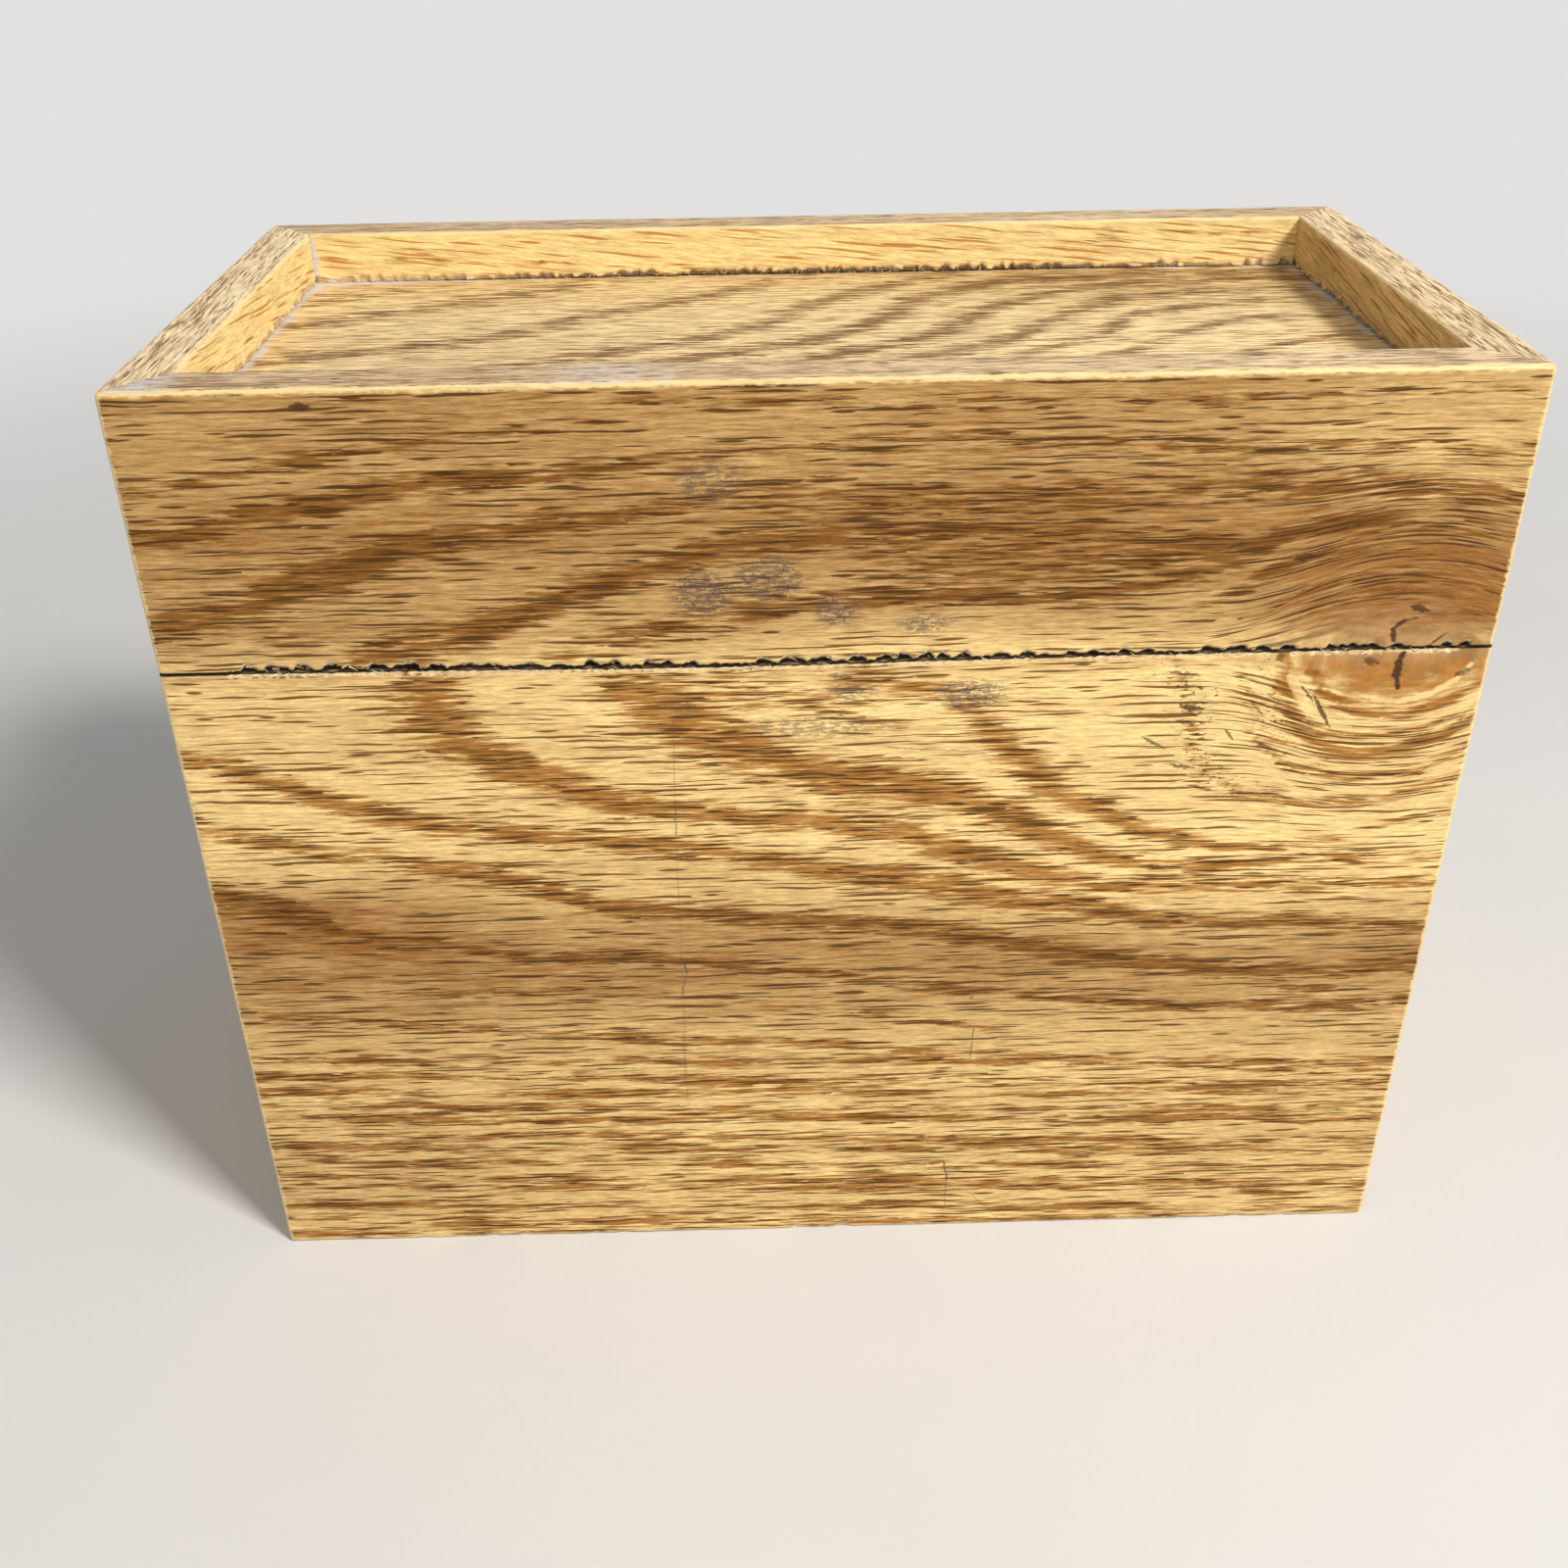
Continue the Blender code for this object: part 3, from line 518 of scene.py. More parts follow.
def pore_group(name):
    """Open pores of the oak: thin lens-shaped dashes along the grain."""
    nodes, given, result = new_group(
        name,
        "ShaderNodeTree",
        (("Fibre", "Vector"), ("Length", "Float"), ("Spacing", "Float"), ("Width", "Float"),
         ("Density", "Float"), ("Seed", "Float")),
        (("Pores", "Float"),),
    )
    place = nodes.add("ShaderNodeSeparateXYZ", {0: given["Fibre"]}).outputs
    wobble = nodes.noise(nodes.stretch(given["Fibre"], 9.0, 3.0))
    across = nodes.maths("ADD", place["Y"], nodes.maths("MULTIPLY", nodes.maths("SUBTRACT", wobble, 0.5), 0.9))
    cell_length = nodes.maths("MULTIPLY", given["Length"], 1.3)
    seed = nodes.maths("MULTIPLY_ADD", place["Z"], 7.31)
    seed = nodes.maths("ADD", seed, given["Seed"])
    cell_u = nodes.maths("ADD", nodes.maths("DIVIDE", place["X"], cell_length), seed)
    cell_v = nodes.maths("ADD", nodes.maths("DIVIDE", across, given["Spacing"]), seed)
    cell = nodes.vector(cell_u, cell_v)
    cells = nodes.add(
        "ShaderNodeTexVoronoi", {"Vector": cell, "Scale": 1.0, "Randomness": 0.85}, voronoi_dimensions="2D"
    ).outputs
    chance = nodes.add("ShaderNodeSeparateColor", {0: cells["Color"]}).outputs
    offset = nodes.add("ShaderNodeVectorMath", {0: cell, 1: cells["Position"]}, operation="SUBTRACT").outputs[0]
    offset = nodes.add("ShaderNodeSeparateXYZ", {0: offset}).outputs
    half_length = nodes.maths("MULTIPLY", given["Length"], nodes.rise(chance["Red"], 0, 1, 0.2, 0.68))
    half_width = nodes.maths("MULTIPLY", given["Width"], nodes.rise(chance["Green"], 0, 1, 0.6, 1.5))
    along = nodes.maths("DIVIDE", nodes.maths("MULTIPLY", offset["X"], cell_length), half_length)
    aside = nodes.maths("DIVIDE", nodes.maths("MULTIPLY", offset["Y"], given["Spacing"]), half_width)
    lens = nodes.maths("SUBTRACT", nodes.maths("SUBTRACT", 1.0, nodes.maths("MULTIPLY", along, along)),
                       nodes.maths("ABSOLUTE", aside))
    dash = nodes.rise(lens, -0.12, 0.4)
    present = nodes.maths("LESS_THAN", chance["Blue"], given["Density"])
    nodes.tree.links.new(nodes.maths("MULTIPLY", dash, present), result["Pores"])
    return nodes.tree


def figure_group(name):
    """The oak's figure: tone, growth rings with feathered edges, fibre streaks and pores."""
    nodes, given, result = new_group(
        name,
        "ShaderNodeTree",
        (("Fibre", "Vector"), ("Band", "Float"), ("Tone", "Float"), ("Smooth", "Float"),
         ("Feather", "Float"), ("Pore Length", "Float"), ("Pore Spacing", "Float"), ("Pore Width", "Float"),
         ("Light", "Color"), ("Deep", "Color"), ("Ring", "Color"), ("Pore", "Color")),
        (("Color", "Color"), ("Rings", "Float"), ("Pores", "Float"), ("Height", "Float")),
    )
    fibre = given["Fibre"]
    streak = nodes.noise(nodes.stretch(fibre, 7.0, 0.5, 3.0), 3.0, 0.65)
    broad = nodes.noise(nodes.stretch(fibre, 34.0, 5.0, 11.0), 2.0)
    fine = nodes.noise(nodes.stretch(fibre, 2.6, 0.3, 21.0), 3.0, 0.65)
    flakes = nodes.add(
        "ShaderNodeTexVoronoi", {"Vector": nodes.stretch(fibre, 5.5, 0.5, 13.0), "Scale": 1.0}, voronoi_dimensions="2D"
    ).outputs["Color"]
    flakes = nodes.add("ShaderNodeSeparateColor", {0: flakes}).outputs["Red"]
    threads = nodes.noise(nodes.stretch(fibre, 22.0, 0.3, 91.0), 2.0, 0.6)
    shift = nodes.maths("MULTIPLY", nodes.maths("SUBTRACT", streak, 0.5), 2.1)
    shift = nodes.maths("ADD", shift, nodes.maths("MULTIPLY", nodes.maths("SUBTRACT", flakes, 0.5), 0.3))
    shift = nodes.maths("MULTIPLY", shift, given["Feather"])
    near = nodes.rise(given["Band"], 0.02, 0.3, 0.45, 1.0)
    stained = nodes.maths("ADD", given["Band"], nodes.maths("MULTIPLY", shift, near))
    rings = nodes.rise(stained, 0.2, 0.68)
    tone = nodes.maths("ADD", given["Tone"], nodes.maths("MULTIPLY", nodes.maths("SUBTRACT", broad, 0.5), 0.4))
    tone = nodes.maths("ADD", tone, nodes.maths("MULTIPLY", shift, 0.4), clamp=True)
    wood = nodes.mix(tone, given["Light"], given["Deep"])
    ring = nodes.mix(1.0, given["Ring"], nodes.grey(nodes.rise(tone, 0, 1, 1.0, 0.5)), "MULTIPLY")
    wood = nodes.mix(nodes.maths("MULTIPLY", rings, 0.85), wood, ring)
    core = nodes.mix(1.0, given["Pore"], nodes.grey(0.5), "MULTIPLY")
    wood = nodes.mix(nodes.rise(stained, 0.75, 1.2, 0.0, 0.65), wood, core)
    wood = nodes.mix(nodes.rise(threads, 0.52, 0.7, 0.0, 0.34), wood, ring)
    wood = nodes.mix(1.0, wood, nodes.grey(nodes.rise(fine, 0.3, 0.7, 0.78, 1.22)), "MULTIPLY")
    pores = build_once("oak pores", pore_group)
    sizes = {"Fibre": fibre, "Width": given["Pore Width"]}
    all_pores = 0.0
    for seed, reach, gap, least, most in ((0.0, 1.0, 1.0, 0.74, 0.95), (3.3, 0.75, 1.0, 0.66, 0.95),
                                          (5.7, 0.5, 0.5, 0.14, 0.8)):
        layer = nodes.group(pores, {
            **sizes, "Length": nodes.maths("MULTIPLY", given["Pore Length"], reach),
            "Spacing": nodes.maths("MULTIPLY", given["Pore Spacing"], gap),
            "Density": nodes.rise(rings, 0, 1, least, most), "Seed": seed,
        })["Pores"]
        all_pores = nodes.maths("MAXIMUM", layer, all_pores)
    all_pores = nodes.maths("MULTIPLY", all_pores, nodes.maths("SUBTRACT", 1.0, given["Smooth"]), clamp=True)
    dim = nodes.rise(nodes.maths("MAXIMUM", tone, rings), 0.1, 0.9, 1.0, 0.42)
    stain = nodes.mix(1.0, given["Pore"], nodes.grey(dim), "MULTIPLY")
    wood = nodes.mix(nodes.maths("MULTIPLY", all_pores, 0.92), wood, stain)
    height = nodes.maths("MULTIPLY_ADD", fine, 0.25)
    height = nodes.maths("SUBTRACT", height, all_pores)
    for label, socket in (("Color", wood), ("Rings", rings), ("Pores", all_pores), ("Height", height)):
        nodes.tree.links.new(socket, result[label])
    return nodes.tree


def wear_and_highlight_group(name):
    """Where an edge is rubbed pale and carries a painted highlight: a broken line that follows the arris."""
    nodes, given, result = new_group(
        name, "ShaderNodeTree", (("Fibre", "Vector"), ("Edge", "Float"), ("Width", "Float")), (("Wear", "Float"),)
    )
    ragged = nodes.noise(nodes.stretch(given["Fibre"], 2.0, 0.8, 5.0), 5.0, 0.65)
    distance = nodes.maths("ADD", given["Edge"], nodes.maths("MULTIPLY", nodes.maths("SUBTRACT", 0.5, ragged), 1.7))
    limit = nodes.maths("MULTIPLY", given["Width"], 0.35)
    inputs = {"Value": distance, "From Min": limit, "From Max": given["Width"], "To Min": 1.0, "To Max": 0.0}
    wear = nodes.add("ShaderNodeMapRange", inputs, interpolation_type="SMOOTHSTEP").outputs[0]
    nodes.tree.links.new(wear, result["Wear"])
    return nodes.tree


def line_group(name):
    """A drawn line from start to end, in millimetres, with soft edges."""
    nodes, given, result = new_group(
        name,
        "ShaderNodeTree",
        (("Place", "Vector"), ("Start", "Vector"), ("End", "Vector"), ("Width", "Float"), ("Strength", "Float")),
        (("Mark", "Float"),),
    )

    def vectors(operation, first, second, output=0):
        return nodes.add("ShaderNodeVectorMath", {0: first, 1: second}, operation=operation).outputs[output]

    run = vectors("SUBTRACT", given["End"], given["Start"])
    away = vectors("SUBTRACT", given["Place"], given["Start"])
    share_along = nodes.maths(
        "DIVIDE", vectors("DOT_PRODUCT", away, run, "Value"), vectors("DOT_PRODUCT", run, run, "Value"), clamp=True
    )
    nearest = nodes.add("ShaderNodeVectorMath", {0: run, 3: share_along}, operation="SCALE").outputs[0]
    distance = vectors("DISTANCE", away, nearest, "Value")
    inner = nodes.maths("MULTIPLY", given["Width"], 0.45)
    inputs = {"Value": distance, "From Min": inner, "From Max": given["Width"],
              "To Min": given["Strength"], "To Max": 0.0}
    mark = nodes.add("ShaderNodeMapRange", inputs, interpolation_type="SMOOTHSTEP").outputs[0]
    nodes.tree.links.new(mark, result["Mark"])
    return nodes.tree


def new_material(name):
    """An empty material, with its nodes and its Principled shader."""
    material = bpy.data.materials.new(name)
    material.use_nodes = True
    return material, Nodes(material.node_tree), material.node_tree.nodes["Principled BSDF"]


OakFinish = namedtuple("OakFinish", "light deep ring pore feather wear dust roughness coat grain")


def colour_shift(value, amounts):
    """A colour with each of its channels scaled, for a face that took the stain differently."""
    return tuple(min(c * a, 1.0) for c, a in zip(value, amounts))


def oak_base(nodes, finish):
    """The part that every oak material shares: its colour and its figure's masks."""
    wood = bpy.context.scene.card_box_wood
    fibre = nodes.attribute("fibre", "Vector")
    figure = nodes.group(build_once("oak figure", figure_group), {
        "Fibre": fibre,
        "Band": nodes.attribute("band"),
        "Tone": nodes.attribute("tone"),
        "Smooth": nodes.attribute("knot"),
        "Feather": finish.feather,
        "Pore Length": wood.pore_length / MM * finish.grain,
        "Pore Spacing": wood.pore_spacing / MM * finish.grain,
        "Pore Width": wood.pore_width / MM * (0.3 + 0.7 * finish.grain),
        "Light": (*finish.light, 1),
        "Deep": (*finish.deep, 1),
        "Ring": (*finish.ring, 1),
        "Pore": (*finish.pore, 1),
    })
    return fibre, figure


def oak_dressing(nodes, shader, fibre, figure, surface, finish):
    """Worn edges with a painted highlight, dust with painted sheen on the rim, torn wood, grime with painted shade in
    the saw gap and the torn hollows, gloss and relief, laid over an oak colour.
    """
    wood = bpy.context.scene.card_box_wood
    edge = nodes.attribute("edge")
    # Pale rubbed wear and painted highlight along the rounded edges
    wear = nodes.group(build_once("worn edge and highlight", wear_and_highlight_group), {
        "Fibre": fibre, "Edge": edge, "Width": finish.wear,
    })["Wear"]
    surface = nodes.mix(nodes.maths("MULTIPLY", wear, 0.75), surface, (*srgb(250, 222, 160), 1))
    dusty = nodes.noise(nodes.stretch(fibre, 2.2, 0.9, 31.0), 5.0, 0.65)
    dust = nodes.rise(nodes.maths("ADD", dusty, nodes.attribute("dust")), 0.84, 1.12, 0.0, 0.9)
    # A pale haze of dust over the face; on the rim it is also painted sheen
    haze = nodes.rise(dusty, 0.5, 0.85, 0.0, finish.dust)
    dust = nodes.maths("MAXIMUM", dust, haze)
    surface = nodes.mix(dust, surface, (*wood.dust, 1))
    torn = nodes.attribute("torn")
    splinter = nodes.noise(nodes.stretch(fibre, 1.4, 0.15, 41.0), 3.0, 0.7)
    raw = nodes.mix(nodes.rise(splinter, 0.35, 0.65), (*wood.raw_wood, 1), (*srgb(204, 168, 112), 1))
    surface = nodes.mix(torn, surface, raw)
    # Painted shade with some grime: near black on the saw cut's outer edge and in torn hollows, which lie in shade
    grime_and_shade = nodes.attribute("grime_and_shade")
    surface = nodes.mix(grime_and_shade, surface, (*srgb(22, 14, 8), 1))
    bare = nodes.maths("MAXIMUM", nodes.maths("MAXIMUM", torn, dust), grime_and_shade)
    rough = nodes.noise(nodes.stretch(fibre, 20.0, 6.0, 51.0), 3.0)
    rough = nodes.rise(rough, 0.25, 0.75, finish.roughness - 0.07, finish.roughness + 0.09)
    rough = nodes.maths("ADD", rough, nodes.maths("MULTIPLY", figure["Pores"], 0.2))
    rough = nodes.maths("ADD", rough, nodes.maths("MULTIPLY", bare, 0.45), clamp=True)
    coat = nodes.maths("MULTIPLY", finish.coat, nodes.maths("SUBTRACT", 1.0, bare), clamp=True)
    relief = nodes.maths("ADD", figure["Height"], nodes.maths("MULTIPLY", dusty, nodes.maths("MULTIPLY", dust, 1.5)))
    bump = nodes.add("ShaderNodeBump", {"Strength": 0.6, "Distance": 0.09 * MM, "Height": relief}).outputs[0]
    for label, value in (("Base Color", surface), ("Roughness", rough), ("Coat Weight", coat), ("Normal", bump)):
        nodes.tree.links.new(value, shader.inputs[label])
    shader.inputs["Coat Roughness"].default_value = 0.28
    shader.inputs["Specular IOR Level"].default_value = 0.16


def oak_material(name, finish):
    """Plain oak of one finish, which each board and face then colours through its attributes."""
    material, nodes, shader = new_material(name)
    fibre, figure = oak_base(nodes, finish)
    oak_dressing(nodes, shader, fibre, figure, figure["Color"], finish)
    return material


def front_material(name, finish):
    """The front's oak, with its knot, cracks, residue and scuffs."""
    material, nodes, shader = new_material(name)
    wood = bpy.context.scene.card_box_wood
    fibre, figure = oak_base(nodes, finish)
    surface = figure["Color"]
    place = nodes.attribute("place", "Vector")
    streak = nodes.noise(nodes.stretch(fibre, 4.0, 0.6, 61.0), 4.0, 0.6)
    knot = nodes.maths("ADD", nodes.attribute("knot"),
                       nodes.maths("MULTIPLY", nodes.maths("SUBTRACT", streak, 0.5), 1.6))
    knot = nodes.rise(knot, 0.2, 0.95)
    away = nodes.add("ShaderNodeVectorMath", {0: place, 1: (KNOT_X, KNOT_Z, 0)}, operation="SUBTRACT").outputs[0]
    away = nodes.add("ShaderNodeVectorMath", {0: away, 1: (0.55, 1.0, 0)}, operation="MULTIPLY").outputs[0]
    reach = nodes.add("ShaderNodeVectorMath", {0: away}, operation="LENGTH").outputs["Value"]
    reach = nodes.maths("ADD", reach, nodes.maths("MULTIPLY", nodes.noise(place, 3.0, 0.6, 0.22), 5.0))
    swirl = nodes.noise(nodes.vector(reach, 0.0, 0.0), 2.0, 0.6, 1.1)
    swirl = nodes.maths("ADD", nodes.maths("MULTIPLY", swirl, 0.45), nodes.maths("MULTIPLY", streak, 0.55))
    knot_colour = nodes.mix(nodes.rise(swirl, 0.4, 0.6), (*colour_shift(wood.knot_wood, (0.82, 0.78, 0.7)), 1),
                            (*colour_shift(wood.knot_wood, (1.16, 1.16, 1.2)), 1))
    knot_colour = nodes.mix(nodes.rise(nodes.attribute("tone"), 0.25, 0.6, 0.0, 0.75), knot_colour,
                            (*srgb(178, 138, 94), 1))
    grained = nodes.noise(nodes.stretch(fibre, 3.0, 0.22, 101.0), 3.0, 0.65)
    knot_colour = nodes.mix(1.0, knot_colour, nodes.grey(nodes.rise(grained, 0.3, 0.7, 0.68, 1.22)), "MULTIPLY")
    surface = nodes.mix(nodes.maths("MULTIPLY", knot, 0.84), surface, knot_colour)
    ragged = nodes.add("ShaderNodeTexNoise", {"Vector": place, "Scale": 1.3, "Detail": 3.0}).outputs["Color"]
    ragged = nodes.add("ShaderNodeVectorMath", {0: ragged, 1: (0.5, 0.5, 0.5)}, operation="SUBTRACT").outputs[0]
    drawn = nodes.add("ShaderNodeVectorMath", {0: ragged, 1: (0.7, 0.7, 0), 2: place},
                      operation="MULTIPLY_ADD").outputs[0]
    line = build_once("drawn line", line_group)

    def lines(marks):
        total = 0.0
        for start, end, width, strength in marks:
            mark = nodes.group(line, {
                "Place": drawn, "Start": (*start, 0), "End": (*end, 0), "Width": width, "Strength": strength,
            })["Mark"]
            total = nodes.maths("MAXIMUM", mark, total)
        return total

    surface = nodes.mix(lines(PALE_CRESCENTS), surface, (*wood.light_wood, 1))
    crumbs = nodes.noise(nodes.stretch(place, 0.9, 0.55, 71.0), 5.0, 0.75)
    cracks = lines(KNOT_CRACKS)
    frayed = nodes.maths("MULTIPLY", nodes.maths("SUBTRACT", crumbs, 0.5), 3.4)
    for name in FLECKS:
        fleck = nodes.add("ShaderNodeSeparateXYZ", {0: nodes.attribute(name, "Vector")}).outputs
        aside = nodes.maths("ABSOLUTE", nodes.maths("ADD", fleck["Y"], frayed))
        lens = nodes.maths("SUBTRACT", nodes.maths("SUBTRACT", 1.0, nodes.maths("MULTIPLY", fleck["X"], fleck["X"])),
                           aside)
        cracks = nodes.maths("MAXIMUM", cracks, nodes.maths("MULTIPLY", nodes.rise(lens, 0.0, 0.4), fleck["Z"]))
    cracks = nodes.maths("MULTIPLY", cracks, nodes.rise(crumbs, 0.3, 0.48, 0.6, 1.0))
    specks = nodes.noise(nodes.stretch(place, 1.1, 0.42, 121.0), 3.0, 0.7)
    specks = nodes.maths("ADD", specks, nodes.maths("MULTIPLY", nodes.attribute("pecks"), 0.16))
    cracks = nodes.maths("MAXIMUM", cracks, nodes.rise(specks, 0.69, 0.74, 0.0, 0.85))
    surface = nodes.mix(cracks, surface, (*srgb(66, 38, 16), 1))
    smeared = nodes.attribute("residue")
    smears = nodes.noise(nodes.stretch(place, 1.5, 0.42, 81.0), 4.0, 0.65)
    smears = nodes.maths("ADD", nodes.maths("MULTIPLY", smears, 0.6), nodes.maths("MULTIPLY", crumbs, 0.4))
    rubbed = nodes.rise(nodes.maths("ADD", smears, nodes.maths("MULTIPLY", smeared, 0.2)), 0.6, 0.69, 0.0, 0.5)
    curls = nodes.maths("ABSOLUTE", nodes.maths("SUBTRACT", smears, 0.52))
    rubbed = nodes.maths("ADD", rubbed, nodes.rise(curls, 0.006, 0.026, 0.6, 0.0), clamp=True)
    rubbed = nodes.maths("MULTIPLY", rubbed, nodes.rise(smeared, 0.15, 0.6))
    scuffs = nodes.maths("MULTIPLY", lines(SCUFFS), nodes.rise(crumbs, 0.3, 0.55, 0.35, 1.0))
    surface = nodes.mix(nodes.maths("MAXIMUM", rubbed, scuffs), surface, (*wood.residue, 1))
    oak_dressing(nodes, shader, fibre, figure, surface, finish)
    return material


def brass_material(name):
    """Brushed brass that has dulled, brighter where it is rubbed."""
    material, nodes, shader = new_material(name)
    brass = bpy.context.scene.card_box_brass
    place = nodes.add("ShaderNodeTexCoord").outputs["Object"]
    place = nodes.add("ShaderNodeMapping", {"Vector": place, "Scale": (1000, 1000, 1000)}).outputs[0]
    cloud = nodes.noise(place, 4.0, 0.6, 0.22)
    spots = nodes.noise(place, 3.0, 0.6, 1.7)
    stretch = nodes.add("ShaderNodeVectorMath", {0: place, 1: (0.25, 9.0, 9.0)}, operation="MULTIPLY").outputs[0]
    brushed = nodes.noise(stretch, 2.0, 0.6)
    tarnish = nodes.rise(nodes.maths("ADD", cloud, nodes.maths("MULTIPLY", spots, 0.35)), 0.5, 0.85)
    surface = nodes.mix(tarnish, (*brass.bright, 1), (*brass.dull, 1))
    rough = nodes.maths("ADD", nodes.rise(tarnish, 0, 1, 0.26, 0.46), nodes.maths("MULTIPLY", brushed, 0.08))
    bump = nodes.add("ShaderNodeBump", {"Strength": 0.35, "Distance": 0.02 * MM, "Height": brushed}).outputs[0]
    for label, value in (("Base Color", surface), ("Roughness", rough), ("Normal", bump)):
        nodes.tree.links.new(value, shader.inputs[label])
    shader.inputs["Metallic"].default_value = 1.0
    return material


def materials():
    """The object's materials by name, made at their first use."""
    wood = bpy.context.scene.card_box_wood
    light = tuple(wood.light_wood)
    deep = tuple(wood.deep_wood)
    ring = tuple(wood.ring_wood)
    pore = tuple(wood.pore_wood)
    raw = tuple(wood.raw_wood)
    finishes = {
        "oak front": OakFinish(light, deep, ring, pore, 1.0, 0.9, 0.0, 0.40, 0.1, 1.0),
        "oak side": OakFinish(light, deep, ring, pore, 1.0, 0.9, 0.0, 0.40, 0.1, 1.0),
        # The rim's pale grey haze is dust and painted sheen
        "oak rim": OakFinish(
            srgb(255, 232, 180), srgb(178, 136, 94), srgb(180, 138, 96), srgb(128, 90, 54), 1.1, 0.8, 0.3, 0.46, 0.1, 0.5
        ),
        "oak recess": OakFinish(
            srgb(255, 228, 160), srgb(160, 110, 48), srgb(218, 160, 82), srgb(196, 134, 64), 1.0, 0.5, 0.0, 0.45, 0.1, 1.1
        ),
        "oak panel": OakFinish(
            srgb(255, 226, 166), deep, srgb(158, 110, 54), srgb(122, 82, 32), 1.8, 0.1, 0.06, 0.42, 0.1, 0.6
        ),
        "oak inside": OakFinish(light, deep, ring, pore, 0.9, 0.1, 0.0, 0.55, 0.05, 0.9),
        "oak sawn": OakFinish(
            raw, srgb(206, 168, 112), srgb(198, 154, 94), srgb(164, 120, 68), 0.9, 0.1, 0.04, 0.75, 0.0, 0.7
        ),
    }
    made = {}
    for name, finish in finishes.items():
        build = front_material if name == "oak front" else oak_material
        made[name] = bpy.data.materials.get(name) or build(name, finish)
    # The frame brings a material called brass, so this one has a name of its own
    made["brass"] = bpy.data.materials.get("dulled brass") or brass_material("dulled brass")
    made["torn fibre"] = bpy.data.materials.get("torn fibre") or fibre_material("torn fibre")
    return made


def fibre_material(name):
    """Torn oak fibres: pale and matt, from near white to straw."""
    material, nodes, shader = new_material(name)
    place = nodes.add("ShaderNodeTexCoord").outputs["Object"]
    cloud = nodes.noise(place, 2.0, 0.5, 900.0)
    surface = nodes.mix(nodes.rise(cloud, 0.35, 0.65), (*srgb(238, 220, 182), 1), (*srgb(196, 158, 104), 1))
    nodes.tree.links.new(surface, shader.inputs["Base Color"])
    nodes.tree.links.new(nodes.rise(cloud, 0, 1, 0.7, 0.9), shader.inputs["Roughness"])
    return material


def waves(*turns):
    """A smooth, repeatable wander between -1 and 1, from arrays of angles."""
    return sum(np.sin(turn * (1 + 0.37 * i) + 1.7 * i) for i, turn in enumerate(turns)) / len(turns)


def stroke_shade(x, z, strokes):
    """How dark drawn rings make each point, from 0 to 1."""
    shade = np.zeros_like(x)
    for stroke in strokes:
        for (x0, z0, width0, strength0), (x1, z1, width1, strength1) in zip(stroke, stroke[1:]):
            run = (x1 - x0) ** 2 + (z1 - z0) ** 2
            along = np.clip(((x - x0) * (x1 - x0) + (z - z0) * (z1 - z0)) / run, 0, 1)
            away = np.hypot(x - x0 - along * (x1 - x0), z - z0 - along * (z1 - z0))
            width = width0 + along * (width1 - width0)
            strength = strength0 + along * (strength1 - strength0)
            shade = np.maximum(shade, strength * np.exp(-0.6 * (away / width) ** 2))
    return shade


def lower_rings():
    """The close rings of the front's lower third, each nearly level and falling to the right."""
    random = np.random.default_rng(12)
    strokes = []
    height = LOWER_RING_TOP
    while height > LOWER_RING_FOOT:
        stroke = []
        lean = random.uniform(0.8, 1.2) * LOWER_RING_DROP
        for x in range(-5, 190, 13):
            z = height - lean * x / 178 + random.uniform(-0.5, 0.5)
            stroke.append((x, z, random.uniform(0.5, 1.0), random.uniform(0.35, 0.95)))
        strokes.append(stroke)
        height -= LOWER_RING_PITCH * random.uniform(0.8, 1.25)
    return strokes


def front_figure(x, z):
    """Band, tone and knot of the front at points in millimetres from its left edge and the saw cut."""
    band = stroke_shade(x, z, (*LID_RINGS, *BASE_RINGS, *lower_rings()))
    # The tone holds painted light and shade as well as the wood's own tone
    heights, depths = zip(*FRONT_DEPTHS_AND_SHADE)
    tone = np.interp(z, heights, depths) + 0.06 * waves(x / 21, z / 9)
    for centre_x, centre_z, reach_x, reach_z, amount in FRONT_TONES_AND_SHADE:
        spread = ((x - centre_x) / reach_x) ** 2 + ((z - centre_z) / reach_z) ** 2
        tone = tone + amount * np.exp(-(spread ** 1.5) * 0.7)
    spread = np.hypot((x - KNOT_X) / KNOT_REACH_X, (z - KNOT_Z) / KNOT_REACH_Z)
    knot = np.clip((1.45 - spread) / 0.95, 0, 1) * np.where(z > 0, 0.74, 1)
    return band, np.clip(tone, 0, 1), knot


def fleck_places(x, z, marks):
    """Each point's place on its nearest fleck: how far along it, how far aside and how strong.

    Along runs from -1 to 1 and aside is in half widths, so both stay straight over the mesh.
    """
    nearest = np.full_like(x, np.inf)
    found = np.zeros((len(x), 3))
    for (x0, z0), (x1, z1), width, strength in marks:
        half = math.hypot(x1 - x0, z1 - z0) / 2
        run_x = (x1 - x0) / 2 / half
        run_z = (z1 - z0) / 2 / half
        off_x = x - (x0 + x1) / 2
        off_z = z - (z0 + z1) / 2
        along = off_x * run_x + off_z * run_z
        aside = off_z * run_x - off_x * run_z
        away = np.hypot(np.maximum(np.abs(along) - half, 0), aside)
        shown = strength * np.clip((FLECK_REACH - away) / 0.5, 0, 1)
        closer = away < nearest
        found = np.where(closer[:, None], np.stack([along / half, aside / width, shown], axis=1), found)
        nearest = np.minimum(nearest, away)
    return found


